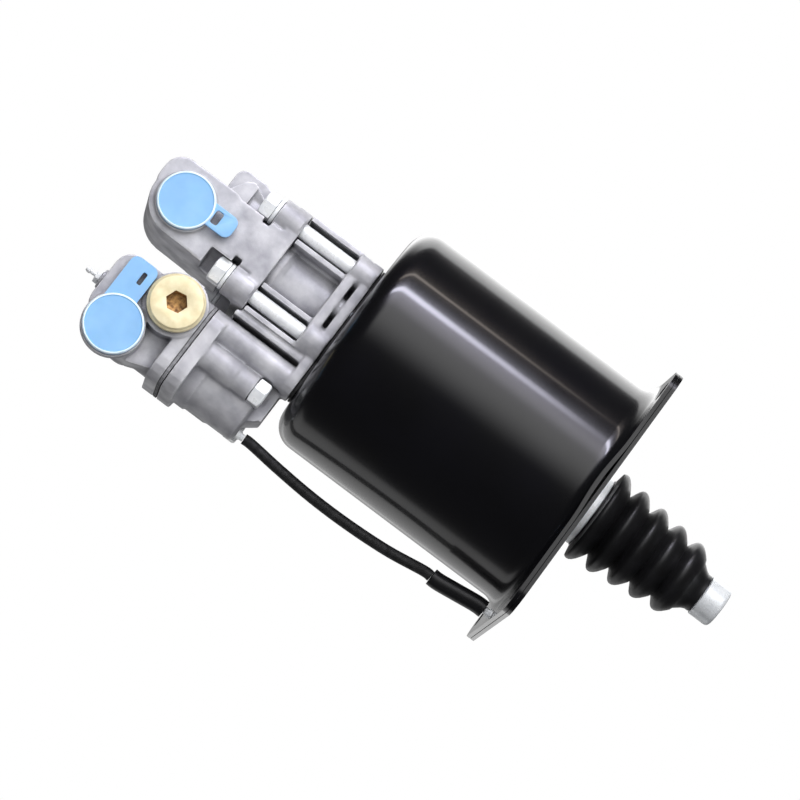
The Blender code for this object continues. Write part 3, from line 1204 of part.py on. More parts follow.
def make_hose(look):
    """The breathing hose from the valve's nipple, and the sleeve that joins it to the flange's nipple."""
    valve_y, valve_z = valve_nipple_place()
    flange_y, flange_z = flange_nipple_place()
    start = CHAMBER_END + 2 * SEAT_GAP + NIPPLE_REACH
    end = FLANGE_LEFT - 2 * SEAT_GAP - NIPPLE_REACH
    straight = Vector((HOSE_STRAIGHT, 0, 0))
    first = Vector((start, valve_y, valve_z))
    joint = Vector((SLEEVE_START, SLEEVE_Y, -SHELL_RADIUS - SLEEVE_DROP))
    last = Vector((end, flange_y, flange_z))

    hang = []
    for share, sag in HOSE_SAG:
        point = (first + straight).lerp(joint - straight, share)
        point.z = -SHELL_RADIUS - HOSE_DROP * sag
        hang.append(point)
    route = [first, first + straight, *hang, joint - straight, joint]
    tube("breather_hose", smooth_route(route, 22), HOSE_RADIUS, look)

    gap = Vector((SEAT_GAP, 0, 0))
    middle = (joint + last) / 2
    sleeve = [joint + gap, joint + straight, middle, last - straight, last]
    tube("hose_sleeve", smooth_route(sleeve, 8), SLEEVE_RADIUS, look)


def main():
    """Clears the scene and builds every piece."""
    for obj in list(bpy.data.objects):
        bpy.data.objects.remove(obj, do_unlink=True)
    black_paint = material("black_paint", (0.012, 0.012, 0.014), 0.18, 0.0)
    rubber = material("black_rubber", (0.015, 0.015, 0.015), 0.75, 0.0)
    cast = material("cast_aluminium", (0.62, 0.62, 0.63), 0.5, 0.9)
    zinc = material("zinc_plate", (0.75, 0.76, 0.78), 0.3, 1.0)
    yellow = material("yellow_zinc", (0.85, 0.74, 0.42), 0.35, 0.9)
    blue = material("blue_plastic", (0.27, 0.62, 0.94), 0.45, 0.0)
    steel = material("spring_steel", (0.35, 0.36, 0.38), 0.35, 1.0)
    fibre = material("gasket_paper", (0.03, 0.03, 0.03), 0.8, 0.0)
    white = material("guide_plastic", (0.8, 0.78, 0.72), 0.5, 0.0)
    brass = material("brass", (0.72, 0.55, 0.25), 0.35, 1.0)

    make_shell(black_paint)
    make_cover(black_paint)
    make_collar(zinc)
    make_boot(rubber)
    make_push_rod(zinc)
    make_piston(cast)
    make_piston_rings(rubber, white)
    make_plunger(steel)
    make_plunger_seal(rubber)
    make_preload_spring(steel)
    make_shell_screws(steel)
    make_base_gasket(fibre)
    make_main_housing(cast)
    make_port_head(cast)
    make_head_bolts(zinc)
    make_valve_gasket(fibre)
    make_valve_head(cast)
    make_valve_bolts(zinc)
    make_plug(yellow, brass)
    make_upper_cap(blue)
    make_lower_cap(blue)
    make_bleeder(zinc)
    make_reaction_parts(cast, rubber, steel)
    make_inlet_parts(brass, steel)
    make_nipples(zinc)
    make_hose(rubber)


main()
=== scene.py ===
"""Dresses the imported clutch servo: detailed pieces, finishes, a pale studio, soft lamps and the camera.

The push rod's axis is X and the flange's face is x = 0. The ports face -Y. Sizes are in metres.
"""

import logging
import math
from collections.abc import Iterator
from contextlib import contextmanager
from dataclasses import dataclass
from enum import Enum
from typing import Any

import bpy
from mathutils import Matrix, Vector

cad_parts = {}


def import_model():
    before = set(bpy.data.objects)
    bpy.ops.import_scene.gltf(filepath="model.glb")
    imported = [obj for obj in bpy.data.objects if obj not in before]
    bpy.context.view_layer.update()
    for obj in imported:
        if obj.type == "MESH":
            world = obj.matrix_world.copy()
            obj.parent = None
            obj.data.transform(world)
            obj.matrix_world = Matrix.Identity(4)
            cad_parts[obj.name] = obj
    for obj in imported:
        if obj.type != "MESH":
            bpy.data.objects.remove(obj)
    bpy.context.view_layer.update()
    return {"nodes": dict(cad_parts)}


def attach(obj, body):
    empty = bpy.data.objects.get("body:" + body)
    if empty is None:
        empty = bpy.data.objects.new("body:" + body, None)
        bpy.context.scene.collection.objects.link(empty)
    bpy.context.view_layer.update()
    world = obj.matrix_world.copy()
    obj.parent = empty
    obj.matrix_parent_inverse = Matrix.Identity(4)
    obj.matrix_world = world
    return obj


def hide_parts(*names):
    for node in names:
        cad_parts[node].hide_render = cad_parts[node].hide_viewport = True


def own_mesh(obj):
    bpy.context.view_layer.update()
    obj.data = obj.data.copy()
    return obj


MM = 0.001
OVERCUT = 1 * MM  # how far a cutter runs past what it cuts
WELD = 0.002 * MM  # points closer than this are merged
ROUND_ANGLE = math.radians(40)  # edges sharper than this are rounded
SMOOTH_ANGLE = math.radians(38)  # edges flatter than this are shaded smooth
UPRIGHT = Matrix.Identity(4)
HIGHLIGHTED_RIDGES = (0.52, 0.62)  # the pointiness at which the painted highlight on a sharp cast edge starts and ends
SHADED_RECESSES = (0.12, 0.58)  # the openness below which a recess gets painted shade
WAVE_BANDS = 3.2  # bands in one unit of the wave texture
COLOR_PATCHES = (0.32, 0.68)  # the part of the noise over which the colour changes
GLOSS_PATCHES = (0.3, 0.7)  # the same for the gloss
RECESS_REACH = 9 * MM  # how near the walls of a recess with painted shade are
# the colour of the painted shade in narrow recesses
PAINTED_SHADE_COLOR = "#161517"
COAT_ROUGHNESS = 0.04
LOG = logging.getLogger("clutch_servo")
Point = tuple[float, float]
Place = tuple[float, float, float]
Piece = bpy.types.Object
Tree = bpy.types.NodeTree
Socket = bpy.types.NodeSocket

# Places shared by several pieces, in millimetres: (y, z) for axes along X and (x, z) for axes along Y
BOLTS = tuple((y, z) for y in (-24, 24) for z in (21, -21))
VALVE = (-2, -65)
VALVE_BOLT_CIRCLE = 20.2
VALVE_BOLTS = tuple(
    (VALVE[0] + VALVE_BOLT_CIRCLE * math.cos(math.radians(turn)),
     VALVE[1] + VALVE_BOLT_CIRCLE * math.sin(math.radians(turn)))
    for turn in (160, 50, -20)
)
AIR_PASSAGE = (-20, -43.1)
BLEEDER = (-10, -57)
UPPER_PORT = (-248.3, -5)
LOWER_PORT = (-239.73, -76.01)
PLUG = (-221.3, -49)


class Slot(Enum):
    """The material slots."""

    BLACK_PAINT = "black_paint"
    CAST = "cast_aluminium"
    ZINC = "zinc_plate"
    YELLOW = "yellow_zinc"
    STEEL = "plain_steel"
    BRASS = "brass"
    RUBBER = "black_rubber"
    GASKET = "black_gasket"
    BLUE = "blue_plastic"
    GUIDE = "guide_plastic"


class Body(Enum):
    """The bodies that pieces ride on."""

    HOUSING = "housing"
    PISTON = "piston"


class Facing(Enum):
    """Where a turned piece's own z axis points."""

    TO_ROD = Matrix(((0, 0, 1), (1, 0, 0), (0, 1, 0))).to_4x4()
    TO_PORTS = Matrix(((0, 0, -1), (1, 0, 0), (0, -1, 0))).to_4x4()
    TO_FRONT = Matrix(((1, 0, 0), (0, 0, -1), (0, 1, 0))).to_4x4()


def mm(*values: float) -> tuple[float, ...]:
    """Turns millimetres into metres."""
    return tuple(value * MM for value in values)


def srgb(code: str) -> tuple[float, float, float, float]:
    """Turns a hex colour into linear light.

    Args:
        code: the sRGB colour, such as "#8FCFFF".

    Returns:
        Linear red, green, blue and alpha.
    """
    values = [int(code[i:i + 2], 16) / 255 for i in (1, 3, 5)]
    linear = [v / 12.92 if v <= 0.04045 else ((v + 0.055) / 1.055) ** 2.4 for v in values]
    return (*linear, 1.0)


def add_node(tree: Tree, kind: str, inputs: dict[Any, Any], **settings: Any) -> bpy.types.Node:
    """Adds a node with its settings, values and links.

    Args:
        tree: the node tree.
        kind: the node's type.
        inputs: for each input's name or number, its value or the socket that feeds it.
        settings: the node's own properties.

    Returns:
        The new node.
    """
    node = tree.nodes.new(kind)
    for name, value in settings.items():
        setattr(node, name, value)
    for name, value in inputs.items():
        if isinstance(value, Socket):
            tree.links.new(value, node.inputs[name])
        else:
            node.inputs[name].default_value = value
    return node


def blend(tree: Tree, share: Any, low: Socket | str, high: Socket | str) -> Socket:
    """Blends two colours, each a socket or a hex code, by the share of the second."""
    low, high = [srgb(color) if isinstance(color, str) else color for color in (low, high)]
    return add_node(tree, "ShaderNodeMix", {0: share, 6: low, 7: high}, data_type="RGBA").outputs[2]


def remap(tree: Tree, value: Socket, source: Point, target: Point = (0.0, 1.0),
          curve: str = "LINEAR") -> Socket:
    """Maps a value from one range to another and holds it at the ends.

    Args:
        tree: the node tree.
        value: the value's socket.
        source: the range that comes in.
        target: the range that goes out.
        curve: LINEAR or SMOOTHSTEP.

    Returns:
        The mapped value's socket.
    """
    return add_node(tree, "ShaderNodeMapRange", {
        "Value": value, "From Min": source[0], "From Max": source[1],
        "To Min": target[0], "To Max": target[1],
    }, interpolation_type=curve).outputs[0]


def compute(tree: Tree, operation: str, *values: Any) -> Socket:
    """Works a value out of others."""
    return add_node(tree, "ShaderNodeMath", dict(enumerate(values)), operation=operation).outputs[0]


def patchy(tree: Tree, place: Socket, size_mm: float, detail: float) -> Socket:
    """Soft random patches.

    Args:
        tree: the node tree.
        place: the coordinates that the patches follow.
        size_mm: how wide the patches are, about.
        detail: how many finer layers they have.

    Returns:
        The patches' height, from 0 to 1.
    """
    return add_node(tree, "ShaderNodeTexNoise", {
        "Vector": place, "Scale": 1 / (size_mm * MM), "Detail": detail,
    }).outputs["Fac"]


@dataclass(frozen=True)
class Finish:
    """A surface with mottled colour, uneven gloss and a fine grain, and where asked painted shade in narrow
    recesses and a painted highlight on sharp edges.
    """

    name: str
    slot: Slot
    dark: str
    light: str
    roughness: float
    spread: float = 0.05  # how far the roughness varies either way
    metallic: float = 0.0
    mottle_mm: float = 12.0  # size of the patches of colour and gloss
    grain_mm: float = 0.8
    relief_mm: float = 0.02
    coat: float = 0.0
    recess_shade: float = 0.0  # how much painted shade darkens the narrow recesses
    edge_highlight: str = ""  # colour of the painted highlight on sharp edges
    sockets: tuple[tuple[str, float], ...] = ()

    def relief(self, tree: Tree, place: Socket) -> Socket:
        """The height of the surface's grain, from 0 to 1, at the piece's Object coordinates."""
        return patchy(tree, place, self.grain_mm, 4)

    def make(self) -> bpy.types.Material:
        """Builds the material at the first call.

        Returns:
            The material, the same one at every call.
        """
        made = bpy.data.materials.get(self.name)
        if made:
            return made
        made = bpy.data.materials.new(self.name)
        made.use_nodes = True
        tree = made.node_tree
        shader = tree.nodes["Principled BSDF"]
        place = add_node(tree, "ShaderNodeTexCoord", {}).outputs["Object"]
        patches = patchy(tree, place, self.mottle_mm, 3)
        color = blend(tree, remap(tree, patches, COLOR_PATCHES), self.dark, self.light)
        # painted highlight: sharp edges are lightened by their pointiness
        if self.edge_highlight:
            ridge = add_node(tree, "ShaderNodeNewGeometry", {}).outputs["Pointiness"]
            color = blend(tree, remap(tree, ridge, HIGHLIGHTED_RIDGES), color, self.edge_highlight)
        # painted shade: narrow recesses are darkened by their ambient occlusion
        if self.recess_shade:
            opening = add_node(tree, "ShaderNodeAmbientOcclusion", {"Distance": RECESS_REACH}, samples=6)
            unshaded = remap(tree, opening.outputs["AO"], SHADED_RECESSES, (1 - self.recess_shade, 1.0))
            color = blend(tree, unshaded, PAINTED_SHADE_COLOR, color)
        gloss = remap(tree, patches, GLOSS_PATCHES,
                      (self.roughness + self.spread, self.roughness - self.spread))
        bump = add_node(tree, "ShaderNodeBump", {
            "Height": self.relief(tree, place), "Distance": self.relief_mm * MM, "Strength": 1.0,
        })
        tree.links.new(color, shader.inputs["Base Color"])
        tree.links.new(gloss, shader.inputs["Roughness"])
        tree.links.new(bump.outputs[0], shader.inputs["Normal"])
        fixed = (("Metallic", self.metallic), ("Coat Weight", self.coat), ("Coat Roughness", COAT_ROUGHNESS))
        for name, value in fixed + self.sockets:
            shader.inputs[name].default_value = value
        return made


@dataclass(frozen=True)
class TurnedFinish(Finish):
    """Metal that was turned on a lathe about X, with fine tool marks."""

    feed_mm: float = 0.9  # drawn coarser than real tool marks, so that they show
    across: str = "X"

    def relief(self, tree: Tree, place: Socket) -> Socket:
        """Adds tool marks to the grain.

        Args:
            tree: the node tree.
            place: the piece's Object coordinates.

        Returns:
            The height's socket.
        """
        marks = add_node(tree, "ShaderNodeTexWave", {
            "Vector": place, "Scale": 1 / (self.feed_mm * MM) / WAVE_BANDS, "Distortion": 1.5, "Detail": 2,
        }, bands_direction=self.across)
        return compute(tree, "ADD", marks.outputs["Fac"], super().relief(tree, place))


@dataclass(frozen=True)
class CastFinish(Finish):
    """Die-cast metal with blasted grit over a slightly wavy skin."""

    wave_mm: float = 5.0
    wave_share: float = 3.0  # the waves' height against the grit's

    def relief(self, tree: Tree, place: Socket) -> Socket:
        """Adds the wavy skin to the grit."""
        skin = patchy(tree, place, self.wave_mm, 1)
        return compute(tree, "MULTIPLY_ADD", skin, self.wave_share, super().relief(tree, place))


# Stoved enamel on drawn steel: near black, wet gloss, slight orange peel
BLACK_ENAMEL = Finish(
    "black_stoved_enamel", Slot.BLACK_PAINT, "#050507", "#09090D", 0.24, 0.03,
    mottle_mm=30, grain_mm=3.5, relief_mm=0.012, coat=0.45)
# Pressure die-cast aluminium, shot blasted: pale, matt, fine grit, with painted shade in its narrow recesses
# and a painted highlight on its sharp edges
CAST_ALUMINIUM = CastFinish(
    "blasted_die_cast_aluminium", Slot.CAST, "#9A9AA1", "#C2C2C7", 0.5, 0.07, 0.25,
    mottle_mm=11, grain_mm=0.75, relief_mm=0.06, recess_shade=0.85, edge_highlight="#F4F4F6")
# Bright zinc plate on turned and headed steel
ZINC_PLATE = TurnedFinish(
    "bright_zinc_plate", Slot.ZINC, "#E6E9ED", "#F8FAFC", 0.3, 0.06, 0.15,
    mottle_mm=5, grain_mm=1.2, relief_mm=0.005)
# The same plate on the push rod, a little greyer and more metallic
ROD_PLATE = TurnedFinish(
    "turned_rod_zinc_plate", Slot.ZINC, "#D4D8DC", "#E8EBEE", 0.28, 0.06, 0.3,
    mottle_mm=5, grain_mm=1.2, relief_mm=0.005)
# Yellow passivated zinc on the turned plug: pale straw with faint patches
YELLOW_ZINC = TurnedFinish(
    "yellow_passivated_zinc", Slot.YELLOW, "#DDCFA6", "#EADFBC", 0.36, 0.05, 0.25,
    mottle_mm=4, grain_mm=1.0, relief_mm=0.006, across="Y")
# The same plate in a mottled brown inside the socket: painted shade
SOCKET_SHADE = Finish(
    "painted_shade_zinc_socket", Slot.YELLOW, "#6B4A2A", "#C79A5C", 0.5, 0.1, 0.5,
    mottle_mm=2, grain_mm=0.7, relief_mm=0.05)
# Natural rubber with carbon black: matt, slightly greyed skin
BLACK_RUBBER = Finish(
    "moulded_black_rubber", Slot.RUBBER, "#0B0B0C", "#161618", 0.38, 0.07,
    mottle_mm=9, grain_mm=0.6, relief_mm=0.02)
# Extruded rubber hose with a faint cloth print in its skin
HOSE_RUBBER = Finish(
    "cloth_printed_hose_rubber", Slot.RUBBER, "#101011", "#222224", 0.6, 0.06,
    mottle_mm=3, grain_mm=0.9, relief_mm=0.06)
# Compressed fibre gasket with a rubber binder
GASKET_FIBRE = Finish(
    "compressed_fibre_gasket", Slot.GASKET, "#1A1A1B", "#2A2A2A", 0.8, 0.05,
    mottle_mm=2, grain_mm=0.5, relief_mm=0.03)
# Compressed fibre without a dark binder: the thin grey line of the valve's joint, with painted shade where
# it lies deep in the joint
GREY_FIBRE = Finish(
    "grey_fibre_gasket", Slot.GASKET, "#6C6C70", "#8A8A8E", 0.8, 0.05,
    mottle_mm=2, grain_mm=0.5, relief_mm=0.03, recess_shade=0.6)
# A paler blue on the front of the cap's thin rim: a painted highlight
RIM_HIGHLIGHT = Finish("painted_highlight_cap_rim", Slot.BLUE, "#CFE6F6", "#E6F2FA", 0.4, 0.04, mottle_mm=6)
# Injection moulded polyethylene: soft sky blue, waxy, a little light goes in
BLUE_POLYETHYLENE = Finish(
    "moulded_blue_polyethylene", Slot.BLUE, "#79ABD9", "#84B6E2", 0.42, 0.04,
    mottle_mm=14, grain_mm=1.6, relief_mm=0.012,
    sockets=(("Subsurface Weight", 0.15), ("Subsurface Scale", 0.002)))
# Oiled carbon steel of springs, screws and the plunger
OILED_STEEL = TurnedFinish(
    "oiled_carbon_steel", Slot.STEEL, "#6E7176", "#8C9095", 0.3, 0.06, 1.0,
    mottle_mm=6, grain_mm=0.8, relief_mm=0.008)
# Turned brass
TURNED_BRASS = TurnedFinish(
    "turned_brass", Slot.BRASS, "#B08D4A", "#C9A561", 0.3, 0.05, 1.0,
    mottle_mm=5, grain_mm=0.8, relief_mm=0.006)
# Moulded acetal of the piston's guide ring
WHITE_ACETAL = Finish("moulded_acetal", Slot.GUIDE, "#D8D3C6", "#E6E2D8", 0.4, 0.05, mottle_mm=10)


def at(x: float, y: float, z: float, facing: Facing = Facing.TO_ROD) -> Matrix:
    """The placement of a turned piece whose own z axis points as asked."""
    return Matrix.Translation((x, y, z)) @ facing.value


def in_front(x: float, reach: float, z: float) -> Matrix:
    """A placement at some reach in front of the axis plane, pointing to the front."""
    return at(x, -reach, z, Facing.TO_FRONT)


def arc(across: float, along: float, radius: float, start: float, end: float,
        steps: int) -> list[Point]:
    """Points of an arc in a profile, in even steps.

    Args:
        across: how far the arc's centre lies from the profile's axis.
        along: the centre's station on the axis.
        radius: the arc's radius.
        start: where it starts, in degrees from the outward direction.
        end: where it ends.
        steps: how many chords it has.

    Returns:
        The points from start to end.
    """
    angles = [math.radians(start + (end - start) * i / steps) for i in range(steps + 1)]
    return [(across + radius * math.cos(a), along + radius * math.sin(a)) for a in angles]


def link_new(name: str, data: Any) -> Piece:
    """Adds an object to the scene.

    Args:
        name: the object's name.
        data: its mesh, curve, lamp or camera data.

    Returns:
        The new object.
    """
    made = bpy.data.objects.new(name, data)
    bpy.context.scene.collection.objects.link(made)
    return made


def choose(piece: Piece) -> None:
    """Selects a piece alone and makes it the active one.

    Args:
        piece: the piece.
    """
    bpy.ops.object.select_all(action="DESELECT")
    piece.select_set(True)
    bpy.context.view_layer.objects.active = piece


@contextmanager
def editing(piece: Piece) -> Iterator[None]:
    """Opens a piece in edit mode with all of it selected, and closes it again.

    Args:
        piece: the piece to edit.

    Yields:
        Nothing, while edit mode is open.
    """
    bpy.context.view_layer.objects.active = piece
    bpy.ops.object.mode_set(mode="EDIT")
    bpy.ops.mesh.select_all(action="SELECT")
    yield
    bpy.ops.object.mode_set(mode="OBJECT")


def place_mesh(piece: Piece, place: Matrix) -> None:
    """Puts a piece in place and writes the place into its mesh.

    Args:
        piece: the piece, made round its own origin.
        place: its placement.
    """
    piece.matrix_world = place
    choose(piece)
    bpy.ops.object.transform_apply(location=True, rotation=True, scale=True)


def tidy_normals(piece: Piece) -> None:
    """Merges doubles and turns all faces outwards.

    Args:
        piece: the piece.
    """
    with editing(piece):
        bpy.ops.mesh.remove_doubles(threshold=WELD)
        bpy.ops.mesh.normals_make_consistent(inside=False)


def apply_modifier(piece: Piece, kind: str, **settings: Any) -> None:
    """Adds a modifier with its settings and applies it.

    Args:
        piece: the piece.
        kind: the modifier's type.
        settings: the modifier's own properties.
    """
    bpy.context.view_layer.objects.active = piece
    modifier = piece.modifiers.new(kind.title(), kind)
    for name, value in settings.items():
        setattr(modifier, name, value)
    bpy.ops.object.modifier_apply(modifier=modifier.name)


def lathe(name: str, profile: list[Point], place: Matrix, steps: int = 96,
          hollow: bool = False) -> Piece:
    """Turns a profile by extruding and scaling a circle station by station.

    Args:
        name: the piece's name.
        profile: (radius, height) points. A solid one starts and ends in a flat face.
        place: the placement of the profile's axis.
        steps: facets round the axis.
        hollow: whether the profile closes on itself round a bore.

    Returns:
        The turned piece.
    """
    bpy.ops.object.select_all(action="DESELECT")
    radius, height = profile[0]
    bpy.ops.mesh.primitive_circle_add(vertices=steps, radius=radius, location=(0, 0, height),
                                      fill_type="NOTHING" if hollow else "NGON")
    piece = bpy.context.object
    bpy.ops.object.transform_apply(location=True, rotation=False, scale=False)
    with editing(piece):
        for new_radius, new_height in profile[1:]:
            rise = (0, 0, new_height - height)
            bpy.ops.mesh.extrude_region_move(TRANSFORM_OT_translate={"value": rise})
            factor = new_radius / radius
            bpy.ops.transform.resize(value=(factor, factor, 1), center_override=(0, 0, new_height))
            radius, height = new_radius, new_height
        if hollow:
            bpy.ops.mesh.select_all(action="DESELECT")
            bpy.ops.mesh.select_non_manifold()
            bpy.ops.mesh.bridge_edge_loops()
    piece.name = piece.data.name = name
    tidy_normals(piece)
    place_mesh(piece, place)
    return piece


def tube(name: str, inside: float, outside: float, start: float, end: float, place: Matrix,
         steps: int) -> Piece:
    """Turns a plain ring or tube between two stations of its axis."""
    profile = [(inside, start), (outside, start), (outside, end), (inside, end)]
    return lathe(name, profile, place, steps, hollow=True)


def slab(name: str, low: Point, high: Point, corner: float, thickness: float, place: Matrix) -> Piece:
    """A plate with round corners: a plane that is beveled and then raised.

    Args:
        name: the piece's name.
        low: its lower corner.
        high: its upper corner.
        corner: the corners' radius.
        thickness: how far it is raised along its z axis.
        place: its placement.

    Returns:
        The plate.
    """
    bpy.ops.object.select_all(action="DESELECT")
    bpy.ops.mesh.primitive_plane_add(size=1)
    piece = bpy.context.object
    piece.name = piece.data.name = name
    piece.scale = (high[0] - low[0], high[1] - low[1], 1)
    piece.location = ((high[0] + low[0]) / 2, (high[1] + low[1]) / 2, 0)
    bpy.ops.object.transform_apply(location=True, rotation=True, scale=True)
    with editing(piece):
        bpy.ops.mesh.bevel(offset=corner, segments=12, affect="VERTICES")
        bpy.ops.mesh.select_all(action="SELECT")
        bpy.ops.mesh.extrude_region_move(TRANSFORM_OT_translate={"value": (0, 0, thickness)})
    tidy_normals(piece)
    place_mesh(piece, place)
    return piece


def hexagon_corner(flats: float) -> float:
    """How far a hexagon's corners lie from its middle."""
    return flats / 2 / math.cos(math.pi / 6)


def hexagon(name: str, flats: float, depth: float, middle: Place, turn: Place = (0, 0, 0)) -> Piece:
    """A hexagonal bar.

    Args:
        name: the piece's name.
        flats: its width across its flats.
        depth: its length.
        middle: where its middle is.
        turn: its turn from the z axis, in radians.

    Returns:
        The bar.
    """
    bpy.ops.object.select_all(action="DESELECT")
    bpy.ops.mesh.primitive_cylinder_add(vertices=6, radius=hexagon_corner(flats), depth=depth,
                                        location=middle, rotation=turn)
    bar = bpy.context.object
    bar.name = bar.data.name = name
    bpy.ops.object.transform_apply(location=True, rotation=True, scale=True)
    return bar


def combine(piece: Piece, tools: list[Piece], operation: str) -> None:
    """Adds tools to a piece or cuts them out of it, one by one, and removes them.

    Args:
        piece: the piece that stays.
        tools: the pieces that are used up.
        operation: UNION, DIFFERENCE or INTERSECT.
    """
    for tool in tools:
        apply_modifier(piece, "BOOLEAN", operation=operation, object=tool, solver="EXACT")
        bpy.data.objects.remove(tool, do_unlink=True)


def join_pieces(piece: Piece, others: list[Piece]) -> None:
    """Joins other meshes into a piece as they are.

    Args:
        piece: the piece that stays.
        others: the pieces that go into it.
    """
    bpy.ops.object.select_all(action="DESELECT")
    for other in [piece, *others]:
        other.select_set(True)
    bpy.context.view_layer.objects.active = piece
    bpy.ops.object.join()


def soften(piece: Piece, width: float, segments: int = 2) -> None:
    """Rounds a piece's edges a little."""
    apply_modifier(piece, "BEVEL", width=width, segments=segments, limit_method="ANGLE",
                   angle_limit=ROUND_ANGLE, use_clamp_overlap=True)


def dress(piece: Piece, finish: Finish, nodes: tuple[str, ...], body: Body = Body.HOUSING) -> None:
    """Gives a new piece its finish, its smooth shading, its body and the solids that it replaces.

    Args:
        piece: the new piece.
        finish: its finish.
        nodes: the names of the solids that it replaces.
        body: the body that it rides on.
    """
    piece.data.materials.clear()
    piece.data.materials.append(finish.make())
    choose(piece)
    bpy.ops.object.shade_smooth_by_angle(angle=SMOOTH_ANGLE)
    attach(piece, body.value)
    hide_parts(*nodes)
    LOG.info("%s: %d faces, %s", piece.name, len(piece.data.polygons), finish.name)


def along_curve(name: str, points: list[Place], radius: float, sides: int) -> Piece:
    """A round bar along a centreline, as a mesh with closed ends.

    Args:
        name: the piece's name.
        points: the points of the centreline.
        radius: the bar's radius.
        sides: the curve's bevel resolution. More makes the bar rounder.

    Returns:
        The bar.
    """
    curve = bpy.data.curves.new(name, "CURVE")
    curve.dimensions = "3D"
    curve.bevel_depth = radius
    curve.bevel_resolution = sides
    curve.use_fill_caps = True
    spline = curve.splines.new("POLY")
    spline.points.add(len(points) - 1)
    for point, place in zip(spline.points, points):
        point.co = (*place, 1)
    choose(link_new(name, curve))
    bpy.ops.object.convert(target="MESH")
    made = bpy.context.object
    made.name = made.data.name = name
    tidy_normals(made)
    return made


@dataclass
class Cylinder:
    """The drawn shell with its flange, and the cover that closes it."""

    radius: float = 65.5 * MM
    end: float = -148 * MM
    sheet: float = 2 * MM
    corner: float = 13 * MM
    fillet: float = 8 * MM
    edge: float = 3.5 * MM
    drop: float = 9.5 * MM
    flange_corner: float = 12 * MM
    hole: float = 5.5 * MM
    flange_right: float = -2.3 * MM
    cover_left: float = -2.0 * MM
    cover_bore: float = 19.8 * MM
    hub_hole: float = 10 * MM
    screw_circle: float = 24 * MM
    screw_hole: float = 4.5 * MM
    air_place: Point = mm(*AIR_PASSAGE)
    air_hole: float = 4 * MM
    soft_edge: float = 0.35 * MM

    def outline(self, name: str, left: float, thickness: float) -> Piece:
        """A plate with the flange's outline.

        Args:
            name: the plate's name.
            left: where it starts along X.
            thickness: how far it reaches from there.

        Returns:
            The plate.
        """
        half = self.radius + self.edge
        low, high = (-half, -half - self.drop), (half, half)
        return slab(name, low, high, self.flange_corner, thickness, at(left, 0, 0))

    def drills(self, places: list[Point], radius: float, left: float, right: float) -> list[Piece]:
        """Round cutters along X at several places, which run past both ends."""
        profile = [(radius, left - OVERCUT), (radius, right + OVERCUT)]
        return [lathe(f"drill_{i}", profile, at(0, y, z), 48) for i, (y, z) in enumerate(places)]

    def flange_holes(self, left: float, right: float) -> list[Piece]:
        """Cutters for the four holes in the flange's corners.

        Args:
            left: where the plate starts along X.
            right: where it ends.

        Returns:
            The four cutters.
        """
        side = self.radius + self.edge - self.flange_corner
        places = [(y, z) for y in (-side, side) for z in (side, -side - self.drop)]
        return self.drills(places, self.hole, left, right)

    def build_shell(self) -> Piece:
        """The cup: closed end, round corner, wall, flared mouth and flange.

        Returns:
            The shell.
        """
        inner = self.radius - self.corner
        flare = self.radius + self.fillet
        left = self.flange_right - self.sheet
        reach = 2 * self.radius
        corner_x = self.end + self.corner
        flare_x = left - self.fillet
        profile = (
            arc(inner, corner_x, self.corner, -90, 0, 12)
            + arc(flare, flare_x, self.fillet, 180, 90, 10)
            + [(reach, left), (reach, self.flange_right)]
            + arc(flare, flare_x, self.fillet + self.sheet, 90, 180, 10)
            + arc(inner, corner_x, self.corner - self.sheet, 0, -90, 8)
        )
        shell = lathe("drawn_shell", profile, at(0, 0, 0), 144)
        combine(shell, [self.outline("trim", self.end - OVERCUT, -self.end)], "INTERSECT")
        floor = (self.end, self.end + self.sheet)
        screws = [(self.screw_circle * math.cos(a), self.screw_circle * math.sin(a))
                  for a in (0, math.pi / 2, math.pi, 3 * math.pi / 2)]
        cutters = self.flange_holes(left, self.flange_right)
        cutters += self.drills([(0, 0)], self.hub_hole, *floor)
        cutters += self.drills(screws, self.screw_hole, *floor)
        cutters += self.drills([self.air_place], self.air_hole, *floor)
        combine(shell, cutters, "DIFFERENCE")
        soften(shell, self.soft_edge)
        return shell

    def build_cover(self) -> Piece:
        """The flat plate over the mouth.

        Returns:
            The cover.
        """
        cover = self.outline("flange_cover", self.cover_left, -self.cover_left)
        cutters = self.flange_holes(self.cover_left, 0)
        cutters += self.drills([(0, 0)], self.cover_bore, self.cover_left, 0)
        combine(cover, cutters, "DIFFERENCE")
        soften(cover, self.soft_edge)
        return cover

    def build(self) -> None:
        """Builds and dresses both pieces, with flat faces that shade flat."""
        for piece, node in ((self.build_shell(), "cylinder_shell"), (self.build_cover(), "end_cover")):
            dress(piece, BLACK_ENAMEL, (node,))
            apply_modifier(piece, "WEIGHTED_NORMAL", keep_sharp=True)


# One fold of the bellows: share of its pitch, and share of its depth outside and below its crest inside
FOLD_OUTSIDE: tuple[Point, ...] = (
    (0.0, 0.0), (0.06, 0.16), (0.14, 0.47), (0.22, 0.76), (0.29, 0.92), (0.36, 0.99),
    (0.43, 1.0), (0.51, 0.97), (0.61, 0.86), (0.73, 0.64), (0.86, 0.32), (0.95, 0.08),
)
FOLD_INSIDE: tuple[Point, ...] = ((0.3, 0.35), (0.5, 0.0), (0.7, 0.35))
# The bellows' nose: how much wider it is, and the share of its length that is left
NOSE_OUTSIDE: tuple[Point, ...] = ((3.6 * MM, 1.0), (0.9 * MM, 0.55), (0.0, 0.3))


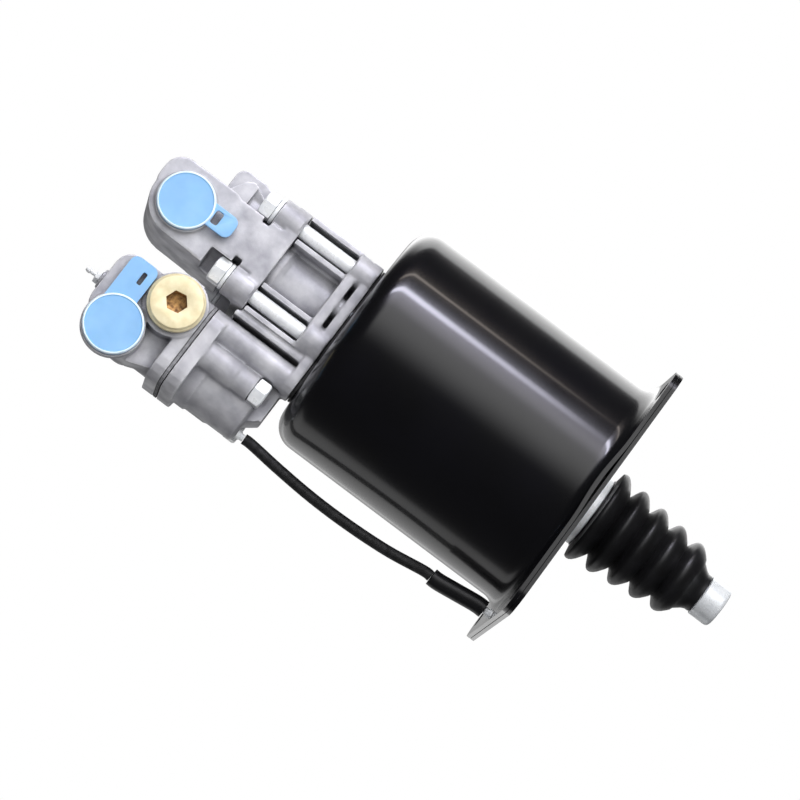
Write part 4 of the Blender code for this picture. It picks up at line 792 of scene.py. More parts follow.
@dataclass
class RodEnd:
    """The collar, the bellows and the push rod."""

    collar: float = 19.5 * MM
    collar_bore: float = 14 * MM
    collar_foot: float = -2.0 * MM  # the collar sits in the cover's bore
    collar_edge: float = 0.6 * MM
    collar_soft: float = 0.3 * MM
    gap: float = 0.3 * MM
    start: float = 6.6 * MM
    length: float = 68.4 * MM
    first_fold: float = 4.6 * MM  # where the first fold would start if the collar didn't cut it short
    nose: float = 7.5 * MM
    nose_wall: float = 1.3 * MM
    nose_edge: float = 0.5 * MM
    mouth_share: float = 0.6  # share of the nose that grips the rod
    wall: float = 1.8 * MM
    lip: float = 2.3 * MM
    grip: float = 3.6 * MM
    first_rise: float = 1 * MM  # the first fold shows from here on, past the boot's start
    folds: int = 5
    crests: Point = (26 * MM, 20.6 * MM)
    depths: Point = (7.4 * MM, 5.2 * MM)
    rod: float = 9 * MM
    head: float = 11.25 * MM
    head_edge: float = 0.4 * MM
    head_length: float = 12 * MM
    head_round: float = 2.2 * MM
    ball: float = 11 * MM
    ball_x: float = -12.3 * MM
    stroke: float = 45 * MM

    def bellows_profile(self) -> list[Point]:
        """The bellows' closed profile, with round crests and tight valleys.

        Returns:
            Points as (radius, station), along the outside and back along the inside.
        """
        end = self.start + self.length
        pitch = (end - self.nose - self.first_fold) / self.folds
        neck = self.collar - self.lip + self.gap
        outer = [(neck + self.lip, self.start), (neck + self.lip, self.start + self.collar_edge)]
        inner = [(neck, self.start), (neck, self.start + self.grip + self.gap)]
        for fold in range(self.folds):
            share = fold / (self.folds - 1)
            crest = self.crests[0] + (self.crests[1] - self.crests[0]) * share
            depth = self.depths[0] + (self.depths[1] - self.depths[0]) * share
            left = self.first_fold + fold * pitch
            outer += [(crest - depth * (1 - height), left + part * pitch) for part, height in FOLD_OUTSIDE
                      if left + part * pitch >= self.start + self.first_rise]
            if fold:
                inner.append((crest - depth - self.wall, left))
            inner += [(crest - self.wall - low * depth, left + part * pitch) for part, low in FOLD_INSIDE]
        if inner[2][1] < inner[1][1] + self.gap:
            inner.pop(2)
        mouth = self.rod + self.gap
        nose_outer = mouth + self.nose_wall
        outer += [(nose_outer + more, end - share * self.nose) for more, share in NOSE_OUTSIDE]
        outer += [(nose_outer, end - self.nose_edge), (nose_outer - self.nose_edge, end)]
        inner += [(mouth, end - self.mouth_share * self.nose), (mouth, end)]
        return outer + inner[::-1]

    def build(self) -> None:
        """Builds and dresses the three pieces."""
        neck = self.collar - self.lip
        shoulder = self.start - self.gap
        end = self.start + self.grip
        collar = lathe("turned_collar", [
            (self.collar_bore, self.collar_foot), (self.collar, self.collar_foot),
            (self.collar, shoulder), (neck, shoulder), (neck, end - self.collar_edge),
            (neck - self.collar_edge, end), (self.collar_bore, end),
        ], at(0, 0, 0), hollow=True)
        soften(collar, self.collar_soft)
        dress(collar, ZINC_PLATE, ("boot_collar",))

        bellows = lathe("rubber_bellows", self.bellows_profile(), at(0, 0, 0), hollow=True)
        dress(bellows, BLACK_RUBBER, ("dust_boot",))
        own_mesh(bellows)

        neck_angle = math.degrees(math.acos(self.rod / self.ball))
        tip = self.start + self.length + self.gap + self.head_length
        shoulder_x = tip - self.head_length
        profile = (
            arc(0, self.ball_x, self.ball, -85, neck_angle, 16)
            + [(self.rod, shoulder_x), (self.head - self.head_edge, shoulder_x),
               (self.head, shoulder_x + self.head_edge)]
            + arc(self.head - self.head_round, tip - self.head_round, self.head_round, 0, 90, 6)
        )
        rod = lathe("plated_push_rod", profile, at(0, 0, 0))
        dress(rod, ROD_PLATE, ("push_rod",), Body.PISTON)


@dataclass(frozen=True)
class Skin:
    """A round stretch of a casting that gets a smooth surface, in millimetres."""

    radius: float
    start: float
    end: float
    place: Point = (0.0, 0.0)
    to_front: bool = False

    def build(self, name: str, wall: float) -> Piece:
        """The stretch as a tube.

        Args:
            name: the tube's name.
            wall: its wall, in metres.

        Returns:
            The tube.
        """
        facing = Facing.TO_FRONT if self.to_front else Facing.TO_ROD
        x, y = (self.place[0] * MM, 0) if self.to_front else (0, self.place[0] * MM)
        radius, start, end, z = mm(self.radius, self.start, self.end, self.place[1])
        return tube(name, radius - wall, radius, start, end, at(x, y, z, facing), 72)


@dataclass(frozen=True)
class Fill:
    """A rounded block of a casting between two corners, with its long corners along Y, in millimetres."""

    low: Place
    high: Place
    corner: float = 2.5

    def build(self, name: str) -> Piece:
        """The block as a piece.

        Args:
            name: its name.

        Returns:
            The block.
        """
        low, high = mm(*self.low), mm(*self.high)
        return slab(name, (low[0], low[2]), (high[0], high[2]), self.corner * MM, high[1] - low[1],
                    at(0, high[1], 0, Facing.TO_FRONT))


@dataclass(frozen=True)
class Neck:
    """Where a boss along Y draws in behind its front, in millimetres."""

    place: Point
    radius: float
    reach: float
    front: float  # how far from the axis plane its full front starts
    start: float  # degrees round the boss, from the side of the rod
    end: float
    side_fade: float = 25  # degrees over which it fades toward its sides
    front_fade: float = 3

    def draw_in(self, casting: Piece) -> None:
        """Pulls the boss's side in toward its axis, behind its front.

        Args:
            casting: the casting with the boss.
        """
        middle_x, middle_z, radius, reach, front = mm(*self.place, self.radius, self.reach, self.front)
        for vertex in casting.data.vertices:
            x, z = vertex.co.x - middle_x, vertex.co.z - middle_z
            distance = math.hypot(x, z)
            turn = math.degrees(math.atan2(z, x)) % 360
            if not (radius < distance < reach and self.start < turn < self.end):
                continue
            side = min(turn - self.start, self.end - turn) / self.side_fade
            depth = (vertex.co.y + front) / (self.front_fade * MM)
            share = max(0.0, min(1.0, side)) * max(0.0, min(1.0, depth))
            factor = 1 - share * (1 - radius / distance)
            vertex.co.x = middle_x + x * factor
            vertex.co.z = middle_z + z * factor


@dataclass
class Casting:
    """A casting with smooth bosses and soft edges, worked up from its solid, in millimetres."""

    node: str
    name: str
    skins: tuple[Skin, ...]
    fills: tuple[Fill, ...] = ()
    necks: tuple[Neck, ...] = ()
    voxel: float = 0.8
    trim_x: float | None = None
    wall: float = 2.0
    smoothing: int = 3

    def add_skins(self, casting: Piece) -> None:
        """Joins the tubes and blocks to the solid and trims them at the joint face.

        Args:
            casting: the copy of the solid.
        """
        added = [skin.build(f"skin_{i}", self.wall * MM) for i, skin in enumerate(self.skins)]
        added += [fill.build(f"fill_{i}") for i, fill in enumerate(self.fills)]
        join_pieces(casting, added)
        if self.trim_x is not None:
            with editing(casting):
                bpy.ops.mesh.bisect(plane_co=(self.trim_x * MM, 0, 0), plane_no=(1, 0, 0),
                                    use_fill=True, clear_outer=True)

    def build(self) -> None:
        """Builds and dresses the casting."""
        casting = link_new(self.name, bpy.data.objects[self.node].data.copy())
        choose(casting)
        tidy_normals(casting)
        self.add_skins(casting)
        apply_modifier(casting, "REMESH", mode="VOXEL", voxel_size=self.voxel * MM, adaptivity=0.0)
        for neck in self.necks:
            neck.draw_in(casting)
        apply_modifier(casting, "SMOOTH", factor=0.5, iterations=self.smoothing)
        dress(casting, CAST_ALUMINIUM, (self.node,))


@dataclass
class Fasteners:
    """The long bolts with their washers and the valve's bolts."""

    flats: float = 13 * MM
    head: float = 7 * MM
    shank: float = 4 * MM
    bore: float = 4.3 * MM
    washer: float = 7.4 * MM
    washer_height: float = 2 * MM
    washer_edge: float = 0.3 * MM
    top_cut: Point = mm(0.4, 1.2)  # how far in and how far down the head's top corners are cut
    foot_cut: float = 0.5 * MM  # how far up its lower corners are cut
    clearance: float = 0.1 * MM  # how far the cutting cone runs past the hexagon
    dish: Place = mm(2, 2.4, 0.5)  # width of the rim round the dish, above and at its floor, and its depth
    tip_cut: float = 0.6 * MM  # chamfer of the thread's end
    overlap: float = 1 * MM  # how far the shank reaches into the head
    soft_edge: float = 0.2 * MM
    washer_x: float = -211.1 * MM
    head_x: float = -211.4 * MM
    long_tip: float = -153.3 * MM
    valve_seat: float = -165.7 * MM
    valve_tip: float = -211.2 * MM

    def hex_bolt(self, name: str, length: float, place: Matrix) -> Piece:
        """A bolt with a chamfered and dished hexagon head.

        Args:
            name: the bolt's name.
            length: its length under the head.
            place: the placement of the head's underside.

        Returns:
            The bolt.
        """
        half, corner = self.flats / 2, hexagon_corner(self.flats) + self.clearance
        rim, floor_rim, depth = self.dish
        bolt = hexagon(name, self.flats, self.head, (0, 0, -self.head / 2), (0, 0, math.pi / 6))
        chamfer = lathe("chamfer", [
            (half - self.top_cut[0], -self.head), (corner, -self.head + self.top_cut[1]),
            (corner, -self.foot_cut), (half - self.clearance, self.clearance),
        ], UPRIGHT, 64)
        combine(bolt, [chamfer], "INTERSECT")
        dish = lathe("dish", [
            (half - rim, -self.head - OVERCUT), (half - floor_rim, -self.head + depth),
        ], UPRIGHT, 48)
        combine(bolt, [dish], "DIFFERENCE")
        soften(bolt, self.soft_edge)
        shank = lathe("shank", [
            (self.shank, -self.overlap), (self.shank, length - self.tip_cut),
            (self.shank - self.tip_cut, length),
        ], UPRIGHT, 48)
        combine(bolt, [shank], "UNION")
        place_mesh(bolt, place)
        return bolt

    def build(self) -> None:
        """Builds every bolt and washer and dresses it."""
        for i, (y, z) in enumerate((mm(*place) for place in BOLTS), 1):
            bolt = self.hex_bolt(f"long_bolt_{i}", self.long_tip - self.head_x, at(self.head_x, y, z))
            dress(bolt, ZINC_PLATE, (f"head_bolt_{i}",))
            washer = tube(f"plated_washer_{i}", self.bore, self.washer, 0, self.washer_height,
                          at(self.washer_x, y, z), 64)
            soften(washer, self.washer_edge)
            dress(washer, ZINC_PLATE, (f"head_washer_{i}",))
        for i, (y, z) in enumerate((mm(*place) for place in VALVE_BOLTS), 1):
            bolt = self.hex_bolt(f"valve_hex_bolt_{i}", self.valve_seat - self.valve_tip,
                                 at(self.valve_seat, y, z, Facing.TO_PORTS))
            dress(bolt, ZINC_PLATE, (f"valve_bolt_{i}",))


@dataclass
class PortFittings:
    """The blue caps, the plug with its ring, and the bleeder."""

    upper: Point = mm(*UPPER_PORT)
    upper_face: float = 34.3 * MM
    lower: Point = mm(*LOWER_PORT)
    lower_face: float = 31.3 * MM
    cap: float = 14.8 * MM
    lower_cap: float = 15.4 * MM
    cap_height: float = 3 * MM
    cap_foot: Point = mm(0.3, 0.4)  # its lower chamfer, in and up
    rim_profile: tuple[Point, ...] = ((0, 0.9), (0.25, 0.3), (0.6, 0), (1.1, 0), (1.5, 0.35))  # mm in, down
    stem: float = 6.7 * MM
    stem_length: float = 9 * MM
    stem_cut: Point = mm(0.6, 0.8)  # its end's chamfer, in and up
    rim: float = 1.0 * MM  # width of its painted highlight
    upper_tab: Point = mm(-4, 8)  # its lower and upper side, from the port's middle
    upper_tab_reach: float = 13 * MM  # past the disc
    # Two corners of the slot: how far past the disc's edge, and how high over the port's middle
    upper_slot: tuple[Point, Point] = (mm(0.4, -1.6), mm(4.6, 5.8))
    upper_slot_corner: float = 1.2 * MM
    lower_tab: Point = mm(-12.5, 35)  # its left side and its upper end, from the port's middle
    lower_slot: Point = mm(23, 30)  # its lower and upper end
    lower_slot_width: float = 2.5 * MM
    lower_slot_corner: float = 0.8 * MM
    plug_gap: float = 0.8 * MM  # between the lower tab and the plug
    tab_corner: float = 4 * MM
    strap: float = 1.6 * MM  # the tab's thickness
    lift: float = 0.4 * MM  # how far in front of the port's face the tab lies
    slot_depth: float = 5 * MM
    plug: Point = mm(*PLUG)
    plug_front: float = 30 * MM
    plug_radius: float = 14.7 * MM
    plug_thread: float = 9 * MM
    plug_thread_depth: float = 10.6 * MM
    plug_thread_cut: float = 0.6 * MM
    plug_height: float = 5 * MM
    plug_foot: float = 0.3 * MM
    plug_rim: tuple[Point, ...] = ((0, 2.1), (0.3, 1.7), (0.9, 1.5), (1.1, 0.5), (1.6, 0))  # mm in, down
    plug_edge: float = 0.2 * MM
    ring_gap: float = 0.3 * MM  # on both sides of the ring
    ring: Place = mm(9.5, 13.9, 1.5)  # inner and outer radius, and height
    socket_flats: float = 10 * MM
    socket_depth: float = 5 * MM
    socket_turn: float = math.radians(20)
    socket_rim: float = 0.15 * MM  # how deep the plug's own colour reaches into the socket
    bleed_x: float = -260.5 * MM
    bleed: Point = mm(*BLEEDER)
    bleed_flats: float = 7 * MM
    bleed_height: float = 2.5 * MM
    spigot: tuple[Point, ...] = (
        (2.5, -8), (2.5, 0.5), (1.3, 2.5), (1.3, 5.6), (1.75, 6.4), (1.75, 7.2), (1.2, 8.4),
    )  # in mm, radius and height
    soft_edge: float = 0.25 * MM
    margin: float = 0.05 * MM  # allowed where faces are picked by their place

    def cap_body(self, name: str, radius: float, place: Matrix) -> Piece:
        """A cap's disc with a thin raised rim, and its stem.

        Args:
            name: the cap's name.
            radius: the disc's radius.
            place: the placement of the disc's underside.

        Returns:
            The cap without its tab.
        """
        end, stem = -self.stem_length, self.stem
        profile = [
            (stem - self.stem_cut[0], end), (stem, end + self.stem_cut[1]), (stem, 0),
            (radius - self.cap_foot[0], 0), (radius, self.cap_foot[1]),
        ]
        profile += [(radius - inward * MM, self.cap_height - down * MM) for inward, down in self.rim_profile]
        return lathe(name, profile, place, 128)

    def build_cap(self, name: str, node: str, middle: Point, face: float, radius: float,
                  tab: tuple[Point, Point], slot: tuple[Point, Point], slot_corner: float) -> None:
        """A blue cap with its pull tab, its slot and the painted highlight on its rim.

        Args:
            name: the cap's name.
            node: the solid that it replaces.
            middle: the port's middle, as (x, z).
            face: how far in front of the axis plane the port's face lies.
            radius: the disc's radius.
            tab: two corners of the tab, from the middle.
            slot: the same of the slot.
            slot_corner: the slot's corner radius.
        """
        x, z = middle
        cap = self.cap_body(name, radius, in_front(x, face, z))
        tongue = slab("tab", *tab, self.tab_corner, self.strap, in_front(x, face + self.lift, z))
        combine(cap, [tongue], "UNION")
        cutter = slab("slot", *slot, slot_corner, self.slot_depth, in_front(x, face - OVERCUT, z))
        combine(cap, [cutter], "DIFFERENCE")
        soften(cap, self.soft_edge)
        dress(cap, BLUE_POLYETHYLENE, (node,))
        # painted highlight: the rim's front faces get a paler blue
        cap.data.materials.append(RIM_HIGHLIGHT.make())
        for polygon in cap.data.polygons:
            distance = math.hypot(polygon.center.x - x, polygon.center.z - z)
            if radius - self.rim < distance < radius + self.margin and polygon.normal.y < -0.3:
                polygon.material_index = 1

    def build_caps(self) -> None:
        """Both caps. The lower one's tab runs up beside the plug."""
        low, high = self.upper_tab
        tab = ((0, low), (self.cap + self.upper_tab_reach, high))
        slot = tuple((self.cap + along, across) for along, across in self.upper_slot)
        self.build_cap("upper_transport_cap", "upper_port_cap", self.upper, self.upper_face, self.cap,
                       tab, slot, self.upper_slot_corner)
        left, high = self.lower_tab
        right = self.plug[0] - self.plug_radius - self.plug_gap - self.lower[0]
        slot_left = (right + left + self.lower_slot_width) / 2
        slot_right = slot_left + self.lower_slot_width
        slot = ((slot_left, self.lower_slot[0]), (slot_right, self.lower_slot[1]))
        self.build_cap("lower_transport_cap", "lower_port_cap", self.lower, self.lower_face,
                       self.lower_cap, ((left, 0), (right, high)), slot, self.lower_slot_corner)

    def build_plug(self) -> None:
        """The plug with its hexagon socket, and its sealing ring."""
        x, z = self.plug
        inside, outside, height = self.ring
        ring_front = self.plug_front + self.ring_gap
        ring = tube("brass_sealing_ring", inside, outside, 0, height, in_front(x, ring_front, z), 96)
        soften(ring, self.soft_edge)
        dress(ring, TURNED_BRASS, ("plug_seal",))
        seat = ring_front + height + self.ring_gap
        radius, top, thread, cut = self.plug_radius, self.plug_height, self.plug_thread, self.plug_thread_cut
        root = self.plug_front - seat - self.plug_thread_depth
        profile = [
            (thread - cut, root - cut), (thread, root), (thread, 0),
            (radius - self.plug_foot, 0), (radius, self.plug_foot),
        ]
        profile += [(radius - inward * MM, top - down * MM) for inward, down in self.plug_rim]
        plug = lathe("yellow_screw_plug", profile, in_front(x, seat, z), 128)
        socket = hexagon("socket", self.socket_flats, 2 * self.socket_depth, (x, -seat - top, z),
                         (math.pi / 2, self.socket_turn, 0))
        combine(plug, [socket], "DIFFERENCE")
        soften(plug, self.plug_edge)
        dress(plug, YELLOW_ZINC, ("screw_plug",))
        # painted shade: the faces inside the socket get a mottled brown
        plug.data.materials.append(SOCKET_SHADE.make())
        reach = hexagon_corner(self.socket_flats) + self.margin
        for polygon in plug.data.polygons:
            inside_socket = math.hypot(polygon.center.x - x, polygon.center.z - z) < reach
            if inside_socket and self.socket_rim - seat - top < polygon.center.y < -seat:
                polygon.material_index = 1

    def build_bleeder(self) -> None:
        """The bleeder screw: small hexagon, tapered spigot and bead."""
        bleeder = hexagon("plated_bleeder", self.bleed_flats, self.bleed_height,
                          (0, 0, self.bleed_height / 2))
        soften(bleeder, self.soft_edge)
        spigot = lathe("spigot", [mm(*point) for point in self.spigot], UPRIGHT, 48)
        combine(bleeder, [spigot], "UNION")
        place_mesh(bleeder, at(self.bleed_x, *self.bleed, Facing.TO_PORTS))
        dress(bleeder, ZINC_PLATE, ("bleeder_screw",))

    def build(self) -> None:
        """Builds every fitting."""
        self.build_caps()
        self.build_plug()
        self.build_bleeder()


@dataclass
class BreatherHose:
    """The breathing hose with its joining sleeve, along the same points as the solids."""

    radius: float = 2.9 * MM
    sleeve: float = 4.6 * MM
    start: Place = (-155.4, -2, -77.1)  # these three in millimetres
    joint: Place = (-40, -8.6, -77.1)
    end: Place = (-8.9, -9.15, -74.54)
    between: tuple[Place, ...] = (
        (-131.955, -3.155, -79.14), (-110.03, -4.528, -80.768), (-88, -5.907, -81),
        (-65.03, -7.346, -79.838),
    )
    straight: float = 5 * MM
    gap: float = 0.3 * MM
    steps: int = 38
    sleeve_steps: int = 24
    sleeve_edge: float = 0.5 * MM

    def smooth(self, points: list[Vector], count: int) -> list[Place]:
        """The ends of some even stretches of a smooth curve through the given points.

        Args:
            points: the points that the curve runs through.
            count: how many stretches it has.

        Returns:
            One point more than there are stretches.
        """
        ends = [2 * points[0] - points[1]] + points + [2 * points[-1] - points[-2]]
        spans = len(points) - 1
        route = []
        for i in range(count + 1):
            place = min(i / count * spans, spans - 1e-6)
            k = int(place)
            t = place - k
            a, b, c, d = ends[k:k + 4]
            route.append(tuple(0.5 * (2 * b + (c - a) * t + (2 * a - 5 * b + 4 * c - d) * t ** 2
                                      + (3 * b - a - 3 * c + d) * t ** 3)))
        return route

    def build(self) -> None:
        way, gap = Vector((self.straight, 0, 0)), Vector((self.gap, 0, 0))
        start, joint, end = [Vector(point) * MM for point in (self.start, self.joint, self.end)]
        between = [Vector(point) * MM for point in self.between]
        route = self.smooth([start, start + way, *between, joint - way, joint], self.steps)
        hose = along_curve("breathing_hose", route, self.radius, 8)
        dress(hose, HOSE_RUBBER, ("breather_hose",))
        bend = self.smooth([joint + gap, joint + way, (joint + end) / 2, end - way, end],
                           self.sleeve_steps)
        cover = along_curve("hose_joining_sleeve", bend, self.sleeve, 8)
        soften(cover, self.sleeve_edge, 3)
        dress(cover, BLACK_RUBBER, ("hose_sleeve",))


@dataclass(frozen=True)
class Spring:
    """A compression spring with closed end turns, in millimetres."""

    name: str
    node: str
    joint: str
    centre: Point  # its axis, as (y, z)
    radius: float  # to the wire's middle
    wire: float  # half the wire's thickness
    left: float
    right: float
    turns: int
    travel: float  # how much it shortens
    fixed_left: bool = True
    steps: int = 32  # a turn
    turn_gap: float = 0.2  # between the closed turns

    def build(self) -> None:
        """Builds and dresses the spring."""
        y, z, radius, wire, left, right, travel = mm(
            *self.centre, self.radius, self.wire, self.left, self.right, self.travel)
        closed = wire * 2 + self.turn_gap * MM
        pitch = (right - left - 2 * wire - 2 * closed) / (self.turns - 2)
        points = []
        for i in range(self.turns * self.steps + 1):
            turn = i / self.steps
            open_turns = min(max(turn - 1, 0), self.turns - 2)
            rise = closed * min(turn, 1) + pitch * open_turns + closed * max(turn - self.turns + 1, 0)
            angle = math.tau * turn
            points.append((left + wire + rise, y + radius * math.cos(angle), z + radius * math.sin(angle)))
        spring = along_curve(self.name, points, wire, 3)
        dress(spring, OILED_STEEL, (self.node,))
        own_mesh(spring)


@dataclass
class Lamp:
    """A soft rectangular lamp round the cylinder's axis."""

    name: str
    elevation: float  # degrees above the horizon, from the side of the ports over the top
    brightness: float
    width: float
    length: float
    distance: float = 1.2
    x: float = -0.09
    softness: float = 0.6  # share of the lamp over which its light fades toward its long sides
    end_softness: float = 0.6
    in_gloss: bool = True  # whether it shows in glossy reflections
    diffuse: bool = True  # whether it lights matt surfaces
    tint: str = "#FFFFFF"

    def build(self) -> None:
        """Adds the lamp, aimed at the cylinder's middle."""
        angle = math.radians(self.elevation)
        away = Vector((0, -math.cos(angle), math.sin(angle)))
        data = bpy.data.lights.new(self.name, "AREA")
        data.shape = "RECTANGLE"
        data.size = self.length
        data.size_y = self.width
        data.energy = self.brightness * math.pi * self.width * self.length
        data.color = srgb(self.tint)[:3]
        data.use_nodes = True
        tree = data.node_tree
        across = add_node(tree, "ShaderNodeNewGeometry", {}).outputs["Parametric"]
        parts = add_node(tree, "ShaderNodeSeparateXYZ", {0: across})
        fades = []
        for axis, softness in (("X", self.end_softness), ("Y", self.softness)):
            edge = compute(tree, "ABSOLUTE", compute(tree, "SUBTRACT", parts.outputs[axis], 0.5))
            fades.append(remap(tree, edge, (0.5, 0.5 - 0.5 * softness), curve="SMOOTHSTEP"))
        tree.links.new(compute(tree, "MULTIPLY", *fades), tree.nodes["Emission"].inputs["Strength"])
        lamp = link_new(self.name, data)
        side = Vector((1, 0, 0))
        matrix = Matrix((side, away.cross(side), away)).transposed().to_4x4()
        lamp.matrix_world = Matrix.Translation(Vector((self.x, 0, 0)) + away * self.distance) @ matrix
        lamp.visible_camera = False
        lamp.visible_diffuse = self.diffuse
        lamp.visible_glossy = self.in_gloss


@dataclass
class Studio:
    """The floor, the white surround, the lamps and the camera."""

    floor_z: float = -2.2
    floor_size: float = 17.6
    paper: tuple[str, str] = ("#F4F4F3", "#FAFAFA")
    shade: str = "#3C3C3E"  # what the part sees of the floor
    sensor: float = 36
    far_clip: float = 20
    picture: int = 800  # pixels across
    tilt: float = math.radians(12.5)  # the camera looks up at the part by this much
    roll: float = math.radians(36.9)
    distance: float = 1.8
    pixels_per_mm: float = 1.985
    aim_along: float = -104.8 * MM
    aim_up: float = -12.6 * MM
    lamps: tuple[Lamp, ...] = (
        Lamp("streak_lamp", 45.5, 24, 0.2, 1.3, x=-0.55, softness=0.9, end_softness=0.39,
             diffuse=False, tint="#EDECFF"),
        Lamp("streak_tail_lamp", 36, 2.6, 0.5, 1.6, x=-0.3, softness=1.0, tint="#F4F1FF"),
        Lamp("line_lamp", 64.5, 6, 0.1, 1.3, x=-0.55, softness=0.8, end_softness=0.45, tint="#FFF2E8"),
        Lamp("front_fill", 20, 1.5, 1.5, 1.9, softness=1.0),
        Lamp("key_light", 44, 3.2, 0.8, 1.3, x=0.1, in_gloss=False),
        Lamp("low_front_fill", -14, 1.4, 1.4, 2.2, in_gloss=False),
        Lamp("rear_lamp", 134.5, 1.9, 1.2, 2.2, softness=0.2, diffuse=False),
        Lamp("under_rear_lamp", -140, 0.65, 1.6, 2.2, softness=0.25, diffuse=False),
    )

    def build_floor(self) -> None:
        """A plain floor far below the part, pale for the camera and dark for the part's gloss."""
        bpy.ops.object.select_all(action="DESELECT")
        bpy.ops.mesh.primitive_plane_add(size=self.floor_size, location=(0, 0, self.floor_z))
        floor = bpy.context.object
        floor.name = "studio_floor"
        made = bpy.data.materials.new("pale_paper_floor")
        made.use_nodes = True
        tree = made.node_tree
        shader = tree.nodes["Principled BSDF"]
        place = add_node(tree, "ShaderNodeTexCoord", {}).outputs["Object"]
        noise = add_node(tree, "ShaderNodeTexNoise", {"Vector": place, "Scale": 3.0}).outputs["Fac"]
        seen = add_node(tree, "ShaderNodeLightPath", {}).outputs["Is Camera Ray"]
        color = blend(tree, seen, self.shade, blend(tree, noise, *self.paper))
        tree.links.new(color, shader.inputs["Base Color"])
        tree.links.new(seen, shader.inputs["Emission Strength"])
        shader.inputs["Roughness"].default_value = 0.9
        floor.data.materials.append(made)

    def build_world(self) -> None:
        """White for the camera, grey behind the part for its gloss, soft light from above and ahead."""
        world = bpy.context.scene.world or bpy.data.worlds.new("studio")
        bpy.context.scene.world = world
        world.use_nodes = True
        tree = world.node_tree
        tree.nodes.clear()
        way = add_node(tree, "ShaderNodeTexCoord", {}).outputs["Generated"]
        parts = add_node(tree, "ShaderNodeSeparateXYZ", {0: way}).outputs
        behind = remap(tree, parts["Y"], (0.6, 1.0), (0.03, 0.5), "SMOOTHSTEP")
        above = remap(tree, parts["Z"], (-0.4, 0.8), (0.26, 0.72))
        ahead = remap(tree, parts["Y"], (0.0, -1.0), (0.0, 0.42))
        rays = add_node(tree, "ShaderNodeLightPath", {}).outputs
        soft = add_node(tree, "ShaderNodeMix", {
            0: rays["Is Glossy Ray"], 2: compute(tree, "ADD", above, ahead), 3: behind,
        }, data_type="FLOAT")
        seen = compute(tree, "MAXIMUM", rays["Is Camera Ray"], rays["Is Transmission Ray"])
        strength = add_node(tree, "ShaderNodeMix", {0: seen, 2: soft.outputs[0], 3: 1.0}, data_type="FLOAT")
        background = add_node(tree, "ShaderNodeBackground", {
            "Color": srgb("#FFFFFF"), "Strength": strength.outputs[0],
        })
        add_node(tree, "ShaderNodeOutputWorld", {"Surface": background.outputs[0]})

    def build_camera(self) -> None:
        """A camera below the part's axis, rolled as the photo is."""
        away = Vector((0, math.cos(self.tilt), math.sin(self.tilt)))
        rise = Vector((0, -math.sin(self.tilt), math.cos(self.tilt)))
        along = Vector((1, 0, 0))
        right = along * math.cos(self.roll) + rise * math.sin(self.roll)
        up = rise * math.cos(self.roll) - along * math.sin(self.roll)
        data = bpy.data.cameras.new("photo_camera")
        data.sensor_width = self.sensor
        data.lens = self.pixels_per_mm * self.distance / MM * self.sensor / self.picture
        data.clip_end = self.far_clip
        camera = link_new("photo_camera", data)
        aim = along * self.aim_along + rise * self.aim_up
        matrix = Matrix((right, up, -away)).transposed().to_4x4()
        camera.matrix_world = Matrix.Translation(aim - away * self.distance) @ matrix
        bpy.context.scene.camera = camera

    def build(self) -> None:
        """Builds the whole studio."""
        self.build_camera()
        self.build_floor()
        self.build_world()
        for lamp in self.lamps:
            lamp.build()
        bpy.context.scene.view_settings.view_transform = "Standard"


MAIN_HOUSING = Casting("main_housing", "cast_main_housing", (
    Skin(20.5, -194, -156),
    Skin(23.2, -195, -190.5),
    Skin(18.5, -202.5, -188.5, VALVE),
    Skin(17.0, -190, -161, VALVE),
    Skin(7.2, -196.5, -154.3, AIR_PASSAGE),
    *(Skin(8.6, -162.8, -150.4, place) for place in BOLTS),
    *(Skin(7.5, -196.5, -177, place) for place in VALVE_BOLTS),
    *(Skin(6.9, -177.5, -166, place) for place in VALVE_BOLTS),
))
PORT_HEAD = Casting("port_head", "cast_port_head", (
    Skin(21, -222.3, -195.3),
    Skin(18.5, -12, 31, UPPER_PORT, to_front=True),
    Skin(15.5, 30, 34, UPPER_PORT, to_front=True),
    *(Skin(8.6, -208.8, -195.3, place) for place in BOLTS),
), fills=(
    Fill((-214, -30.8, -10.8), (-199, -14, 10.8)),
    Fill((-208.5, -30.8, -13.6), (-199, -14, 13.6), 1),
    Fill((-225, -11.5, 15), (-199, 10, 30.6), 3),
    Fill((-238.5, -11.5, 15), (-219, 10, 32), 5),
    Fill((-267.8, -31, -10), (-222, 12, 14.8), 10),
), necks=(Neck((-257.8, 4.8), 10, 17, 40, 90, 180),), voxel=0.6)
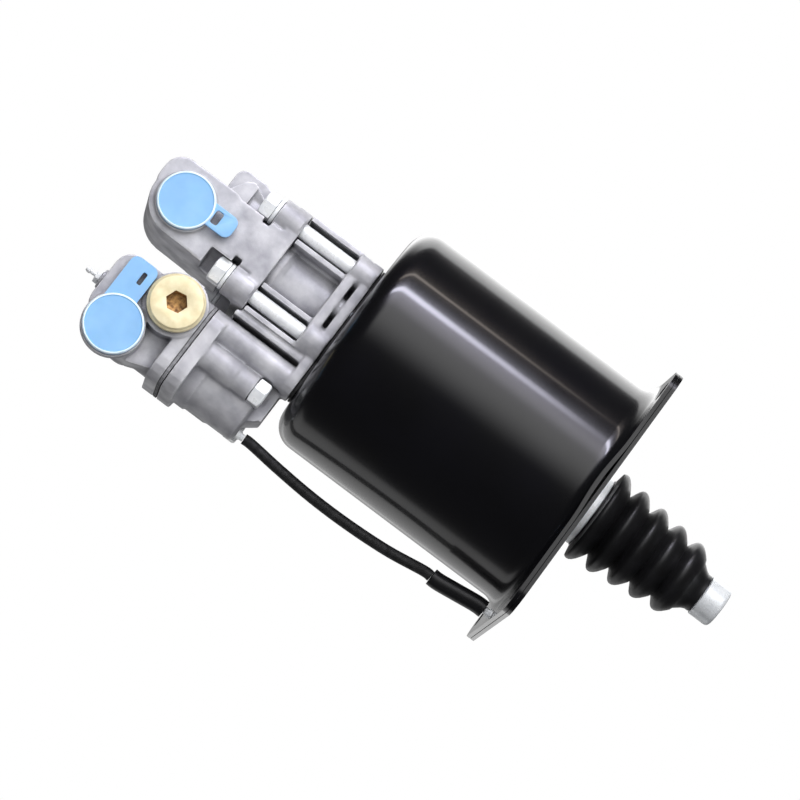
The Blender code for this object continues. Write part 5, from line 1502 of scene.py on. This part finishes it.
VALVE_HEAD = Casting("valve_head", "cast_valve_head", (
    Skin(17, -249.7, -206.7, VALVE),
    Skin(16.5, 0, 30, PLUG, to_front=True),
    Skin(16.2, 0, 31, LOWER_PORT, to_front=True),
    Skin(5.5, -260.2, -246.5, BLEEDER),
), necks=(Neck(LOWER_PORT, 10.5, 17.5, 26, 150, 330),), voxel=0.55, trim_x=-205.7)
SPRINGS = (
    Spring("preload_coil", "preload_spring", "rod_slide", (0, 0), 35, 2, -145.7, -29.6, 6, 45),
    Spring("reaction_coil", "reaction_spring", "reaction_slide", VALVE, 6, 0.8, -184.2, -165.6, 4, 2.5,
           fixed_left=False),
    Spring("inlet_coil", "inlet_spring", "inlet_slide", VALVE, 5, 0.7, -230.4, -211.0, 4, 1.5),
)

# Solids whose own shape shows as it is, or which lie inside, with their finishes
KEPT_NODES: dict[Finish, tuple[str, ...]] = {
    CAST_ALUMINIUM: ("power_piston", "reaction_piston"),
    OILED_STEEL: ("hydraulic_plunger", "shell_screw_1", "shell_screw_2", "shell_screw_3", "shell_screw_4"),
    BLACK_RUBBER: ("piston_seal", "plunger_seal", "reaction_seal"),
    WHITE_ACETAL: ("piston_guide_ring",),
    TURNED_BRASS: ("inlet_valve",),
    GASKET_FIBRE: ("base_gasket",),
    GREY_FIBRE: ("valve_gasket",),
    ZINC_PLATE: ("valve_nipple", "flange_nipple"),
}


def dress_kept_nodes(nodes: dict[str, Piece]) -> None:
    """Gives the solids that stay their finishes.

    Args:
        nodes: the frame's solids by name.
    """
    for finish, names in KEPT_NODES.items():
        for name in names:
            for material_slot in nodes[name].material_slots:
                material_slot.link = "OBJECT"
                material_slot.material = finish.make()


def main() -> None:
    """Loads the frame, builds every piece and the studio, and gives the kept solids their finishes."""
    logging.basicConfig(level=logging.INFO, format="%(message)s")
    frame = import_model()
    builders = (Studio(), Cylinder(), RodEnd(), MAIN_HOUSING, PORT_HEAD, VALVE_HEAD, Fasteners(),
                PortFittings(), BreatherHose(), *SPRINGS)
    for builder in builders:
        builder.build()
    dress_kept_nodes(frame["nodes"])


if __name__ == "__main__":
    main()
